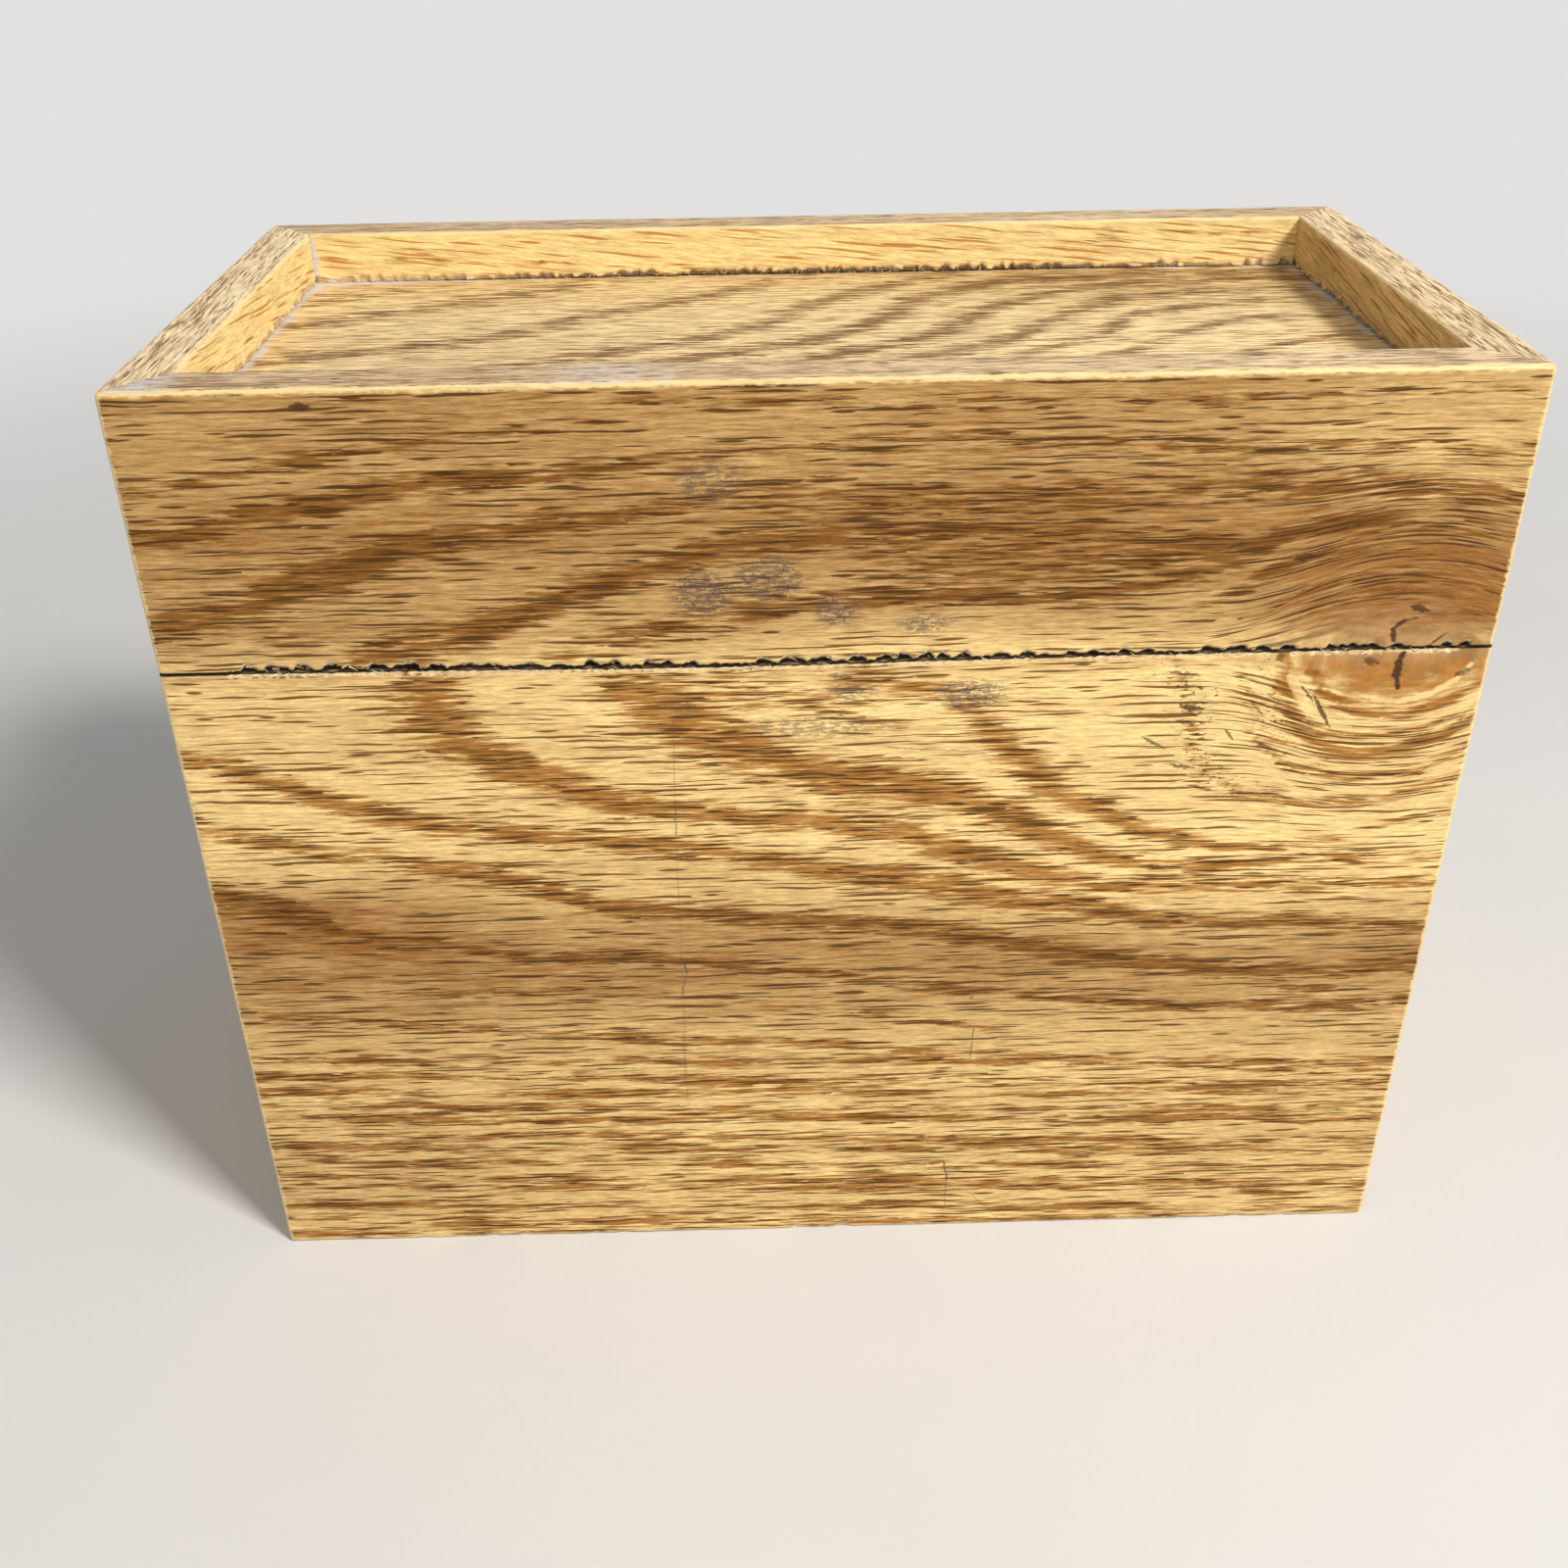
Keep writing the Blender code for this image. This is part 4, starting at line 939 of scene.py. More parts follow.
def residue_shade(x, z):
    """How likely each point is to carry residue, from 0 to 1."""
    shade = np.zeros_like(x)
    for centre_x, centre_z, reach_x, reach_z, strength in RESIDUE:
        away = np.hypot((x - centre_x) / reach_x, (z - centre_z) / reach_z)
        share_in = np.clip((1 - away) / 0.8, 0, 1)
        shade = np.maximum(shade, strength * share_in * share_in * (3 - 2 * share_in))
    return shade


def bent_fibres(x, z):
    """The front's grain coordinate across the fibres, which the knot pushes apart."""
    rise = z - KNOT_Z
    push = np.exp(-((x - KNOT_X) / KNOT_BEND_X) ** 2) * (KNOT_REACH_Z * 2.3) ** 2
    return z - rise * push / (rise ** 2 + push + 1) * np.exp(-(rise / 19) ** 2)


def plain_figure(u, v, seed):
    """Band, tone and knot of a board that the photograph doesn't show, all from gentle waves."""
    rise = v / 4.6 + 1.5 * waves(u / 74 + seed, v / 31 + seed) + 0.28 * waves(u / 19 + 2 * seed, v / 9)
    rise = rise + 0.55 * np.sin(v / 13 + 3 * seed) + 0.37 * seed
    number = np.floor(rise)
    strength = 0.25 + 0.65 * np.mod(np.sin(number * 12.9 + seed) * 437.5, 1.0)
    width = 0.13 + 0.12 * np.mod(np.sin(number * 7.3 + 2 * seed) * 219.7, 1.0)
    band = strength * np.exp(-((rise - number - 0.5) / width) ** 2)
    tone = 0.46 + 0.26 * waves(u / 41 + seed, v / 14 + 2 * seed)
    return band, np.clip(tone, 0, 1), np.zeros_like(u)


# How brown the recess's faces are, with painted shade on the right face and painted light on the back and left faces
RECESS_TONES_AND_SHADE = {"front": 0.4, "right": 0.62, "back": 0.1, "left": 0.08}

# Dust at the foot of the recess's faces, and in the corner at the back left by either end of a face
RECESS_DUST = {"front": 0.4, "right": 0.55, "back": 0.15, "left": 0.66}
BACK_LEFT_DUST = {"back": (0.0, 0.62), "left": (0.62, 0.0)}
HOLLOW_DUST = {"left": 0.8, "right": 0.3}

# The stretch of the lid's sawn edge that is frayed, in millimetres across the front
FRAYED = (11, 173)

# Pale patches on the front rail's rim, rubbed dust and painted sheen: place across, reach and amount
RIM_DUST_AND_SHEEN = ((4, 7, 0.5), (24, 14, 0.26), (62, 18, 0.46), (98, 12, 0.3), (134, 14, 0.3), (172, 6, 0.34))

# Distances from an edge at which a board's mesh has rows, so that the edge can be rounded or torn
LADDER = (0.14 * MM, 0.3 * MM, 0.5 * MM, 0.72 * MM, 1.0 * MM, 1.35 * MM)
LADDER_REACH = LADDER[-1]
STEP_WIDTH = 0.02 * MM

Row = namedtuple("Row", "depth height step face")


class Outline:
    """A board's cross section, walked once round as rows of (depth behind the outer face, height)."""

    def __init__(self, depth, height):
        self.start = (depth, height)
        self.place = (depth, height)
        self.rows = []

    def line(self, depth, height, face, step, spacing, ladder_start=None, ladder_end=None, breaks=()):
        """A straight stretch to a new corner. A ladder's value is the spacing along its rows."""
        x, y = self.place
        reach = math.hypot(depth - x, height - y)
        marks = {}
        first = LADDER_REACH if ladder_start else 0.0
        last = reach - (LADDER_REACH if ladder_end else 0.0)
        count = max(1, math.ceil((last - first) / step - 0.01))
        for i in range(count + 1):
            marks[first + (last - first) * i / count] = spacing
        if ladder_start:
            marks.update({d: ladder_start for d in LADDER})
        if ladder_end:
            marks.update({reach - d: ladder_end for d in (0.0, *LADDER)})
        for place in breaks:
            marks[place - STEP_WIDTH] = spacing
            marks[place + STEP_WIDTH] = spacing
        for distance in sorted(marks):
            if distance < STEP_WIDTH / 2:
                continue
            t = distance / reach
            self.rows.append(Row(x + (depth - x) * t, y + (height - y) * t, marks[distance], face))
        self.place = (depth, height)


def stations(half, step, breaks):
    """Places along a row from one mitred end to the other, closer together at the ends."""
    inner = half - LADDER_REACH
    count = max(2, round(2 * inner / step))
    places = list(np.linspace(-inner, inner, count + 1))
    places += [sign * (half - d) for sign in (-1, 1) for d in (0.0, *LADDER[:-1])]
    places += [place + sign * STEP_WIDTH for place in breaks for sign in (-1, 1)]
    return np.array(sorted(places))


def stitch(lower, upper, low_places, high_places):
    """Faces between two rows of points that may have different numbers of them."""
    if len(lower) == len(upper):
        return [(lower[i], lower[i + 1], upper[i + 1], upper[i]) for i in range(len(lower) - 1)]
    faces = []
    i = j = 0
    while i < len(lower) - 1 or j < len(upper) - 1:
        if j == len(upper) - 1 or (i < len(lower) - 1 and low_places[i + 1] <= high_places[j + 1]):
            faces.append((lower[i], lower[i + 1], upper[j]))
            i += 1
        else:
            faces.append((lower[i], upper[j + 1], upper[j]))
            j += 1
    return faces


def loft(name, rows, faces_of_rows, slots, attributes):
    """A closed mesh skinned over rows of points, the last joined to the first, with flat ends.

    Each row is an array of points and an array of their places along the run.
    """
    starts = np.cumsum([0] + [len(points) for points, _ in rows])
    faces = []
    kinds = []
    for k, (_, places) in enumerate(rows):
        after = (k + 1) % len(rows)
        lower = range(starts[k], starts[k] + len(places))
        upper = range(starts[after], starts[after] + len(rows[after][1]))
        strip = stitch(lower, upper, places, rows[after][1])
        faces += strip
        kinds += [faces_of_rows[after]] * len(strip)
    firsts = [int(starts[k]) for k in range(len(rows))]
    lasts = [int(starts[k]) + len(rows[k][1]) - 1 for k in range(len(rows))]
    faces += [tuple(reversed(firsts)), tuple(lasts)]
    kinds += [slots[-1]] * 2
    points = np.concatenate([points for points, _ in rows])
    mesh = bpy.data.meshes.new(name)
    mesh.from_pydata(points.tolist(), [], [tuple(int(i) for i in face) for face in faces])
    for label, values in attributes.items():
        flat = np.asarray(values, np.float32)
        kind = "FLOAT_VECTOR" if flat.ndim == 2 else "FLOAT"
        data = mesh.attributes.new(label, kind, "POINT").data
        data.foreach_set("vector" if flat.ndim == 2 else "value", flat.ravel())
    mesh.polygons.foreach_set("material_index", [slots.index(kind) for kind in kinds])
    shape = bmesh.new()
    shape.from_mesh(mesh)
    caps = [face for face in shape.faces if len(face.verts) > 4]
    bmesh.ops.triangulate(shape, faces=caps)
    bmesh.ops.recalc_face_normals(shape, faces=shape.faces)
    shape.to_mesh(mesh)
    shape.free()
    return mesh


def finished(name, mesh, slot_materials, body, nodes):
    """Puts a finished mesh in the scene, hangs it on its body's empty and hides the frame's parts that it stands in
    for.
    """
    obj = bpy.data.objects.new(name, mesh)
    bpy.context.scene.collection.objects.link(obj)
    # Clearing the list sets every face back to the first material, so each face's own is put back
    looks = np.zeros(len(mesh.polygons), np.int32)
    mesh.polygons.foreach_get("material_index", looks)
    mesh.materials.clear()
    known = materials()
    for material in slot_materials:
        mesh.materials.append(known[material])
    mesh.polygons.foreach_set("material_index", np.minimum(looks, len(slot_materials) - 1))
    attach(obj, body)
    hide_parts(*nodes)
    return obj


def shade(mesh, degrees):
    """Smooth shading that stays crisp over edges sharper than the angle."""
    mesh.shade_smooth()
    mesh.set_sharp_from_angle(angle=math.radians(degrees))


def bite_heights(places, bites):
    """How far the torn edge eats into the face at each place, with all lengths in metres."""
    height = np.zeros_like(places)
    for centre, bite, half in bites:
        t = (places - centre) / half
        lean = t + 0.35 * (1 - t * t) * (1 if bite > 0.6 * MM else -1)
        height = np.maximum(height, bite * np.sqrt(np.clip(1 - lean * lean, 0, 1)))
    return height


def random_bites(seed, run, count, low, high):
    """Bites of random place and size along a run, the same at each build."""
    random = np.random.default_rng(seed)
    return [
        (random.uniform(-run / 2, run / 2), random.uniform(low, high), random.uniform(0.5, 1.5) * MM)
        for _ in range(count)
    ]


def front_bites(bites):
    """The measured bites of a front edge, moved from millimetres to places along the board."""
    return [(x * MM - BOX_WIDTH / 2, height * MM, half * MM) for x, height, half in bites]


def fringe_bites(seed):
    """Small bites along the stretches where the base's sawn edge is frayed."""
    random = np.random.default_rng(seed)
    bites = []
    for start, end in BASE_FRINGE:
        x = start
        while x < end:
            bites.append((x, random.uniform(0.2, 0.6), random.uniform(0.3, 0.9)))
            x += random.uniform(0.6, 1.8)
    return front_bites(bites)


def tear(depth, height, torn, grime_and_shade, places, corner, along, inward, bites, fray, slope=0.55):
    """Tears an edge of a board open, and marks what is torn and where painted shade, with some grime, darkens the
    hollow.

    The corner is the edge in (depth, height). Along points up the face that shows, and inward
    points into the wood along the face that meets it.
    """
    run = (depth - corner[0]) * along[0] + (height - corner[1]) * along[1]
    sink = (depth - corner[0]) * inward[0] + (height - corner[1]) * inward[1]
    bite = bite_heights(places, bites)
    fuzz = fray * (0.4 + np.abs(waves(places / (0.31 * MM), places / (0.83 * MM), places / (1.9 * MM))))
    bite = np.minimum(bite + fuzz, LADDER_REACH * 0.97)
    cut = bite * slope * (1 + 0.35 * waves(places / (0.23 * MM), places / (0.57 * MM)))
    on_face = (np.abs(sink) < STEP_WIDTH / 4) & (run > -STEP_WIDTH) & (run < LADDER_REACH)
    on_cut = (np.abs(run) < STEP_WIDTH / 4) & (sink > STEP_WIDTH / 4) & (sink < LADDER_REACH)
    share_left = np.clip(1 - run / np.maximum(bite, 1e-9), 0, 1)
    move = np.where(on_face, cut * np.sqrt(share_left), 0)
    move = np.where(on_cut, cut * (1 - sink / LADDER_REACH), move)
    hollow = np.clip((share_left - 0.2) / 0.25, 0, 1)
    torn = np.maximum(torn, np.where(on_face & (share_left > 0.02), np.minimum(bite / (0.12 * MM), 1), 0))
    torn = np.maximum(torn, np.where(on_cut & (sink < cut), 1, 0))
    grime_and_shade = np.maximum(grime_and_shade, np.where(on_face, hollow, np.where(on_cut & (sink < cut), 1, 0)))
    return depth + move * inward[0], height + move * inward[1], torn, grime_and_shade


def ease(depth, height, corner, inward, radius):
    """Rounds an edge of a board's section, whose wood lies the way that inward points."""
    centre = (corner[0] + inward[0] * radius, corner[1] + inward[1] * radius)
    away_x = (depth - centre[0]) * -inward[0]
    away_y = (height - centre[1]) * -inward[1]
    reach = np.hypot(away_x, away_y)
    outside = (away_x > 0) & (away_y > 0) & (reach > radius)
    pull = np.where(outside, radius / np.maximum(reach, 1e-9), 1.0)
    return (
        np.where(outside, centre[0] - away_x * pull * inward[0], depth),
        np.where(outside, centre[1] - away_y * pull * inward[1], height),
    )


def round_outside(points, radius):
    """Draws points in to the box's rounded outer shape, worn a little more here and there."""
    low = np.array((LEFT_X, FRONT_Y, 0))
    high = np.array((RIGHT_X, BACK_Y, BOX_TOP))
    wander = waves(points[:, 0] / 0.0047, points[:, 1] / 0.0053, points[:, 2] / 0.0061)
    radius = (radius * (1 + 0.28 * wander))[:, None]
    core = np.clip(points, low + radius, high - radius)
    away = points - core
    reach = np.linalg.norm(away, axis=1, keepdims=True)
    return np.where(reach > radius, core + away * radius / np.maximum(reach, 1e-9), points)


def side_run(side):
    """The outer length of a side's boards."""
    return BOX_WIDTH if side.along[0] else BOX_DEPTH


def side_points(side, places, depth, height):
    """Points in the frame from places along a board, depths behind its outer face and heights."""
    reach = (BOX_DEPTH if side.along[0] else BOX_WIDTH) / 2 - depth
    x = CENTRE.x + side.along[0] * places + side.out[0] * reach
    y = CENTRE.y + side.along[1] * places + side.out[1] * reach
    return np.stack([x, y, height], axis=1)


def hinge_spans():
    """Where each hinge leaf is let in, as its middle and half length along the back board."""
    spans = []
    for name in HINGE_NAMES:
        low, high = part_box(f"{name}_lower_leaf")
        spans.append((-(low.x + high.x) / 2, (high.x - low.x) / 2 + 0.15 * MM))
    return spans


def lid_outline(side):
    """The lid rail's section: rim, recess face, panel groove and the face inside the lid."""
    wood = bpy.context.scene.card_box_wood
    fine = wood.edge_step if side.name == "front" else 1.5 * wood.edge_step
    step = wood.face_step
    groove = TOP_PANEL_LOW.x - LEFT_X - 0.1 * MM
    lip = TOP_PANEL_HIGH.z + 0.29 * MM
    sill = TOP_PANEL_LOW.z - 0.25 * MM
    breaks = (WALL - LEAF_REACH - 0.15 * MM,) if side.name == "back" else ()
    outline = Outline(0.0, LID_FOOT)
    outline.line(0.0, BOX_TOP, "face", step, step, fine, fine)
    outline.line(WALL, BOX_TOP, "rim", step, step, fine, fine)
    outline.line(WALL, lip, "recess", step, step, fine, wood.edge_step)
    outline.line(groove, lip, "sawn", step, wood.edge_step, wood.edge_step)
    outline.line(groove, sill, "sawn", wood.hidden_step, fine * 2)
    outline.line(WALL, sill, "sawn", wood.hidden_step, wood.hidden_step)
    outline.line(WALL, LID_FOOT, "inside", wood.hidden_step, wood.hidden_step, None, wood.hidden_step)
    outline.line(0.0, LID_FOOT, "sawn", step, step, wood.hidden_step, fine, breaks)
    return outline


def base_outline(side):
    """The base board's section: outer face, sawn top, inside and the bottom panel's groove."""
    wood = bpy.context.scene.card_box_wood
    fine = wood.edge_step if side.name == "front" else 1.5 * wood.edge_step
    step = wood.face_step
    groove = BOTTOM_PANEL_LOW.x - LEFT_X - 0.1 * MM
    lip = BOTTOM_PANEL_HIGH.z + 0.25 * MM
    sill = BOTTOM_PANEL_LOW.z - 0.25 * MM
    breaks = (LEAF_REACH + 0.15 * MM,) if side.name == "back" else ()
    outline = Outline(0.0, 0.0)
    outline.line(0.0, BASE_TOP, "face", step, step, 2 * fine, fine)
    outline.line(WALL, BASE_TOP, "sawn", step, step, fine, wood.hidden_step, breaks)
    outline.line(WALL, lip, "inside", wood.hidden_step, wood.hidden_step, wood.hidden_step)
    outline.line(groove, lip, "sawn", wood.hidden_step, wood.hidden_step)
    outline.line(groove, sill, "sawn", wood.hidden_step, wood.hidden_step)
    outline.line(WALL, sill, "sawn", wood.hidden_step, wood.hidden_step)
    outline.line(WALL, 0.0, "inside", wood.hidden_step, wood.hidden_step)
    outline.line(0.0, 0.0, "foot", step, step, None, 2 * fine)
    return outline


def end_dust(from_left, from_right):
    """How thick the dust lies at the foot of the back rail, from the distances in millimetres to its ends."""
    return np.maximum(np.exp(-(from_left / 30) ** 2), 0.6 * np.exp(-(from_right / 26) ** 2))


def corner_distance(depth, height, places, half, corners):
    """Distance of each point from the nearest edge that hands rub and that gets a painted highlight, in millimetres,
    up to 4.
    """
    away = np.full_like(depth, 4 * MM)
    for corner in corners:
        away = np.minimum(away, np.hypot(depth - corner[0], height - corner[1]))
    outer = np.where(depth < 0.5 * MM, half - np.abs(places), 4 * MM)
    return np.minimum(away, outer) / MM


def board_attributes(side, outline, places, depth, height, lid, counts):
    """The values that the oak's materials read: grain coordinates, rings, tone, edges and dust."""
    u = (places + side_run(side) / 2) / MM
    arc = [math.dist((a.depth, a.height), (b.depth, b.height)) for a, b in zip(outline.rows, outline.rows[1:])]
    first = math.dist(outline.start, (outline.rows[0].depth, outline.rows[0].height))
    arc = np.cumsum([first, *arc]) + outline.start[1] - SEAM_Z
    v = np.repeat(arc, counts) / MM
    band, tone, knot = plain_figure(u, v, side.seed)
    across = v.copy()
    z = (height - SEAM_Z) / MM
    if side.name == "front":
        outer = (depth < 1.5 * MM) & ((height < BOX_TOP - STEP_WIDTH) | (depth < STEP_WIDTH))
        shown = front_figure(u, z)
        band, tone, knot = (np.where(outer, new, old) for new, old in zip(shown, (band, tone, knot)))
        across = np.where(outer, bent_fibres(u, z), across)
    on_rim = (height > BOX_TOP - STEP_WIDTH) & (depth > STEP_WIDTH)
    in_recess = (depth > WALL - STEP_WIDTH) & (height > TOP_PANEL_HIGH.z) & ~on_rim
    # Painted light and shade on the recess faces: the right face darker, the back and left faces paler
    tone = np.where(in_recess, RECESS_TONES_AND_SHADE[side.name] + 0.3 * (tone - 0.42), tone)
    band = np.where(in_recess, 0.5 * band, band)
    across = np.where(in_recess, v + 0.1 * u, across)
    band = np.where(on_rim, 0.24 + 0.2 * waves(u / 23 + side.seed, v / 1.1, v / 0.6), band)
    dust = np.zeros_like(u)
    if lid:
        rise = (height - TOP_PANEL_HIGH.z) / MM
        end = (side_run(side) / 2 - WALL - np.abs(places)) / MM
        foot = RECESS_DUST[side.name]
        if side.name == "back":
            foot = foot + 0.75 * end_dust(side_run(side) / MM - WALL / MM - u, u - WALL / MM)
        foot = foot * np.exp(-(rise / 1.1) ** 2)
        corner = np.where(u > side_run(side) / MM / 2, BACK_LEFT_DUST.get(side.name, (0, 0))[1],
                          BACK_LEFT_DUST.get(side.name, (0, 0))[0]) * np.exp(-(end / 1.3) ** 2)
        dust = np.where(in_recess, np.maximum(foot, corner), 0)
        # Pale dust and painted sheen on the front rail's rim
        if side.name == "front":
            for centre, reach, amount in RIM_DUST_AND_SHEEN:
                dust = dust + np.where(on_rim, amount * np.exp(-((u - centre) / reach) ** 2), 0)
    seed = np.full_like(u, side.seed if not lid or side.name == "front" else side.seed + 0.5)
    drawn = {}
    if side.name == "front":
        drawn["residue"] = np.where(outer, residue_shade(u, z), 0)
        drawn["pecks"] = np.where(outer, stroke_shade(u, z, PECKED), 0)
        for name, marks in FLECKS.items():
            drawn[name] = np.where(outer[:, None], fleck_places(u, z, marks), 0)
    return {
        **drawn,
        "fibre": np.stack([u, across, seed], axis=1),
        "place": np.stack([u, z, np.zeros_like(u)], axis=1),
        "band": band,
        "tone": tone,
        "knot": knot,
        "dust": dust,
    }


def let_in(height, places, depth, seam, up, spans):
    """Cuts the hinge mortises into a back board's sawn edge."""
    deep = LEAF_THICKNESS + 0.08 * MM
    inside = np.zeros_like(places, bool)
    for middle, half in spans:
        inside |= np.abs(places - middle) < half
    rise = (height - seam) * up
    near = inside & (depth < LEAF_REACH + 0.15 * MM) & (rise < LADDER_REACH + STEP_WIDTH)
    return np.where(near, seam + up * (deep + rise * (1 - deep / LADDER_REACH)), height)


def board(side, lid):
    """One board of the lid or the base, swept along its side between its two mitres."""
    wood = bpy.context.scene.card_box_wood
    outline = lid_outline(side) if lid else base_outline(side)
    spans = hinge_spans() if side.name == "back" else []
    breaks = [middle + sign * half for middle, half in spans for sign in (-1, 1)]
    run = side_run(side)
    lines = [stations(run / 2 - row.depth - wood.mitre_gap, row.step, breaks) for row in outline.rows]
    counts = [len(line) for line in lines]
    places = np.concatenate(lines)
    depth = np.repeat([row.depth for row in outline.rows], counts)
    height = np.repeat([row.height for row in outline.rows], counts)
    attributes = board_attributes(side, outline, places, depth, height, lid, counts)
    lip = TOP_PANEL_HIGH.z + 0.29 * MM
    corners = [(0.0, BOX_TOP), (WALL, BOX_TOP)] if lid else [(0.0, 0.0)]
    attributes["edge"] = corner_distance(depth, height, places, run / 2, corners)
    torn = np.zeros_like(places)
    front = side.name == "front"
    seed = int(side.seed * 10) + (5 if lid else 0)
    seam = LID_FOOT if lid else BASE_TOP
    up = 1 if lid else -1
    many = int(run / (5 * MM))
    on_cut = np.abs(height - seam) < STEP_WIDTH
    # Painted shade with some grime: the sawn edge darkens near the outer face, where the saw gap lies in shade
    grime_and_shade = np.where(on_cut, np.clip(1.25 - depth / (0.9 * MM), 0, 1), 0)
    clean = np.zeros_like(places)
    if lid:
        bites = front_bites(LID_BITES) if front else random_bites(seed, run, many, 0.3 * MM, 0.8 * MM)
        teeth = random_bites(seed + 1, run, int(run / (1.9 * MM)), 0.3 * MM, 1.1 * MM)
        fray = 0.1 * MM
        if front:
            frayed_from, frayed_to = np.array(FRAYED) * MM - BOX_WIDTH / 2
            ends = (frayed_from - 3 * MM, frayed_from, frayed_to, frayed_to + 3 * MM)
            fray = np.interp(places, ends, (0.1 * MM, 0.44 * MM, 0.22 * MM, 0.1 * MM))
        depth, height, torn, grime_and_shade = tear(depth, height, torn, grime_and_shade, places, (0, seam), (0, 1), (1, 0), bites, fray)
        depth, height, torn, hollow = tear(depth, height, torn, clean, places, (WALL, lip), (0, 1), (-1, 0), teeth,
                                           0.12 * MM)
        filled = HOLLOW_DUST.get(side.name, 0.0)
        if side.name == "back":
            filled = end_dust((run / 2 - WALL - places) / MM, (run / 2 - WALL + places) / MM)
        # Painted shade with some grime in the gap under the torn teeth at the recess foot, less where dust fills it
        grime_and_shade = np.maximum(grime_and_shade, 0.75 * hollow * (1 - filled))
        # Thick dust closes the gap over the panel
        closed = 0.26 * MM * filled * np.exp(-((height - lip) / (1.2 * MM)) ** 2)
        height = np.where(height > lip - STEP_WIDTH / 4, height - closed, height)
        depth, height = ease(depth, height, (WALL, BOX_TOP), (-1, -1), wood.inner_radius)
    else:
        bites = random_bites(seed, run, many, 0.15 * MM, 0.45 * MM)
        if front:
            bites = fringe_bites(seed)
        chips = front_bites(FOOT_BITES) if front else random_bites(seed + 2, run, 7, 0.3 * MM, 0.8 * MM)
        depth, height, torn, _ = tear(depth, height, torn, clean, places, (0, seam), (0, -1), (1, 0), bites, 0.1 * MM)
        depth, height, torn, _ = tear(depth, height, torn, clean, places, (0, 0), (0, 1), (1, 0), chips, 0.12 * MM)
    if spans:
        height = let_in(height, places, depth, seam, up, spans)
    if front:
        sag = np.exp(-((places + 14 * MM) / (34 * MM)) ** 2) * wood.saw_sag
        height = height - sag * np.exp(-((height - seam) / (6 * MM)) ** 2)
    depth, height = ease(depth, height, (WALL, seam), (-1, up), 0.35 * MM)
    points = round_outside(side_points(side, places, depth, height), wood.edge_radius)
    attributes["torn"] = torn
    attributes["grime_and_shade"] = grime_and_shade
    name = f"lid_{side.name}_rail" if lid else f"base_{side.name}_board"
    slots = ["face", "rim", "recess", "foot", "inside", "sawn"]
    ends = np.cumsum(counts)
    rows = [(points[end - count:end], line) for end, count, line in zip(ends, counts, lines)]
    mesh = loft(name, rows, [row.face for row in outline.rows], slots, attributes)
    shade(mesh, 38)
    face = "oak front" if front else "oak side"
    looks = [face, "oak rim", "oak recess", "oak sawn", "oak inside", "oak sawn"]
    return finished(f"oak_{name}", mesh, looks, "lid" if lid else "base", [name])


def even_stroke(half_width, strength, *points):
    """A ring of one width, fading out at its two ends."""
    ends = (0, len(points) - 1)
    return [(x, y, half_width, strength * (0.5 if i in ends else 1)) for i, (x, y) in enumerate(points)]


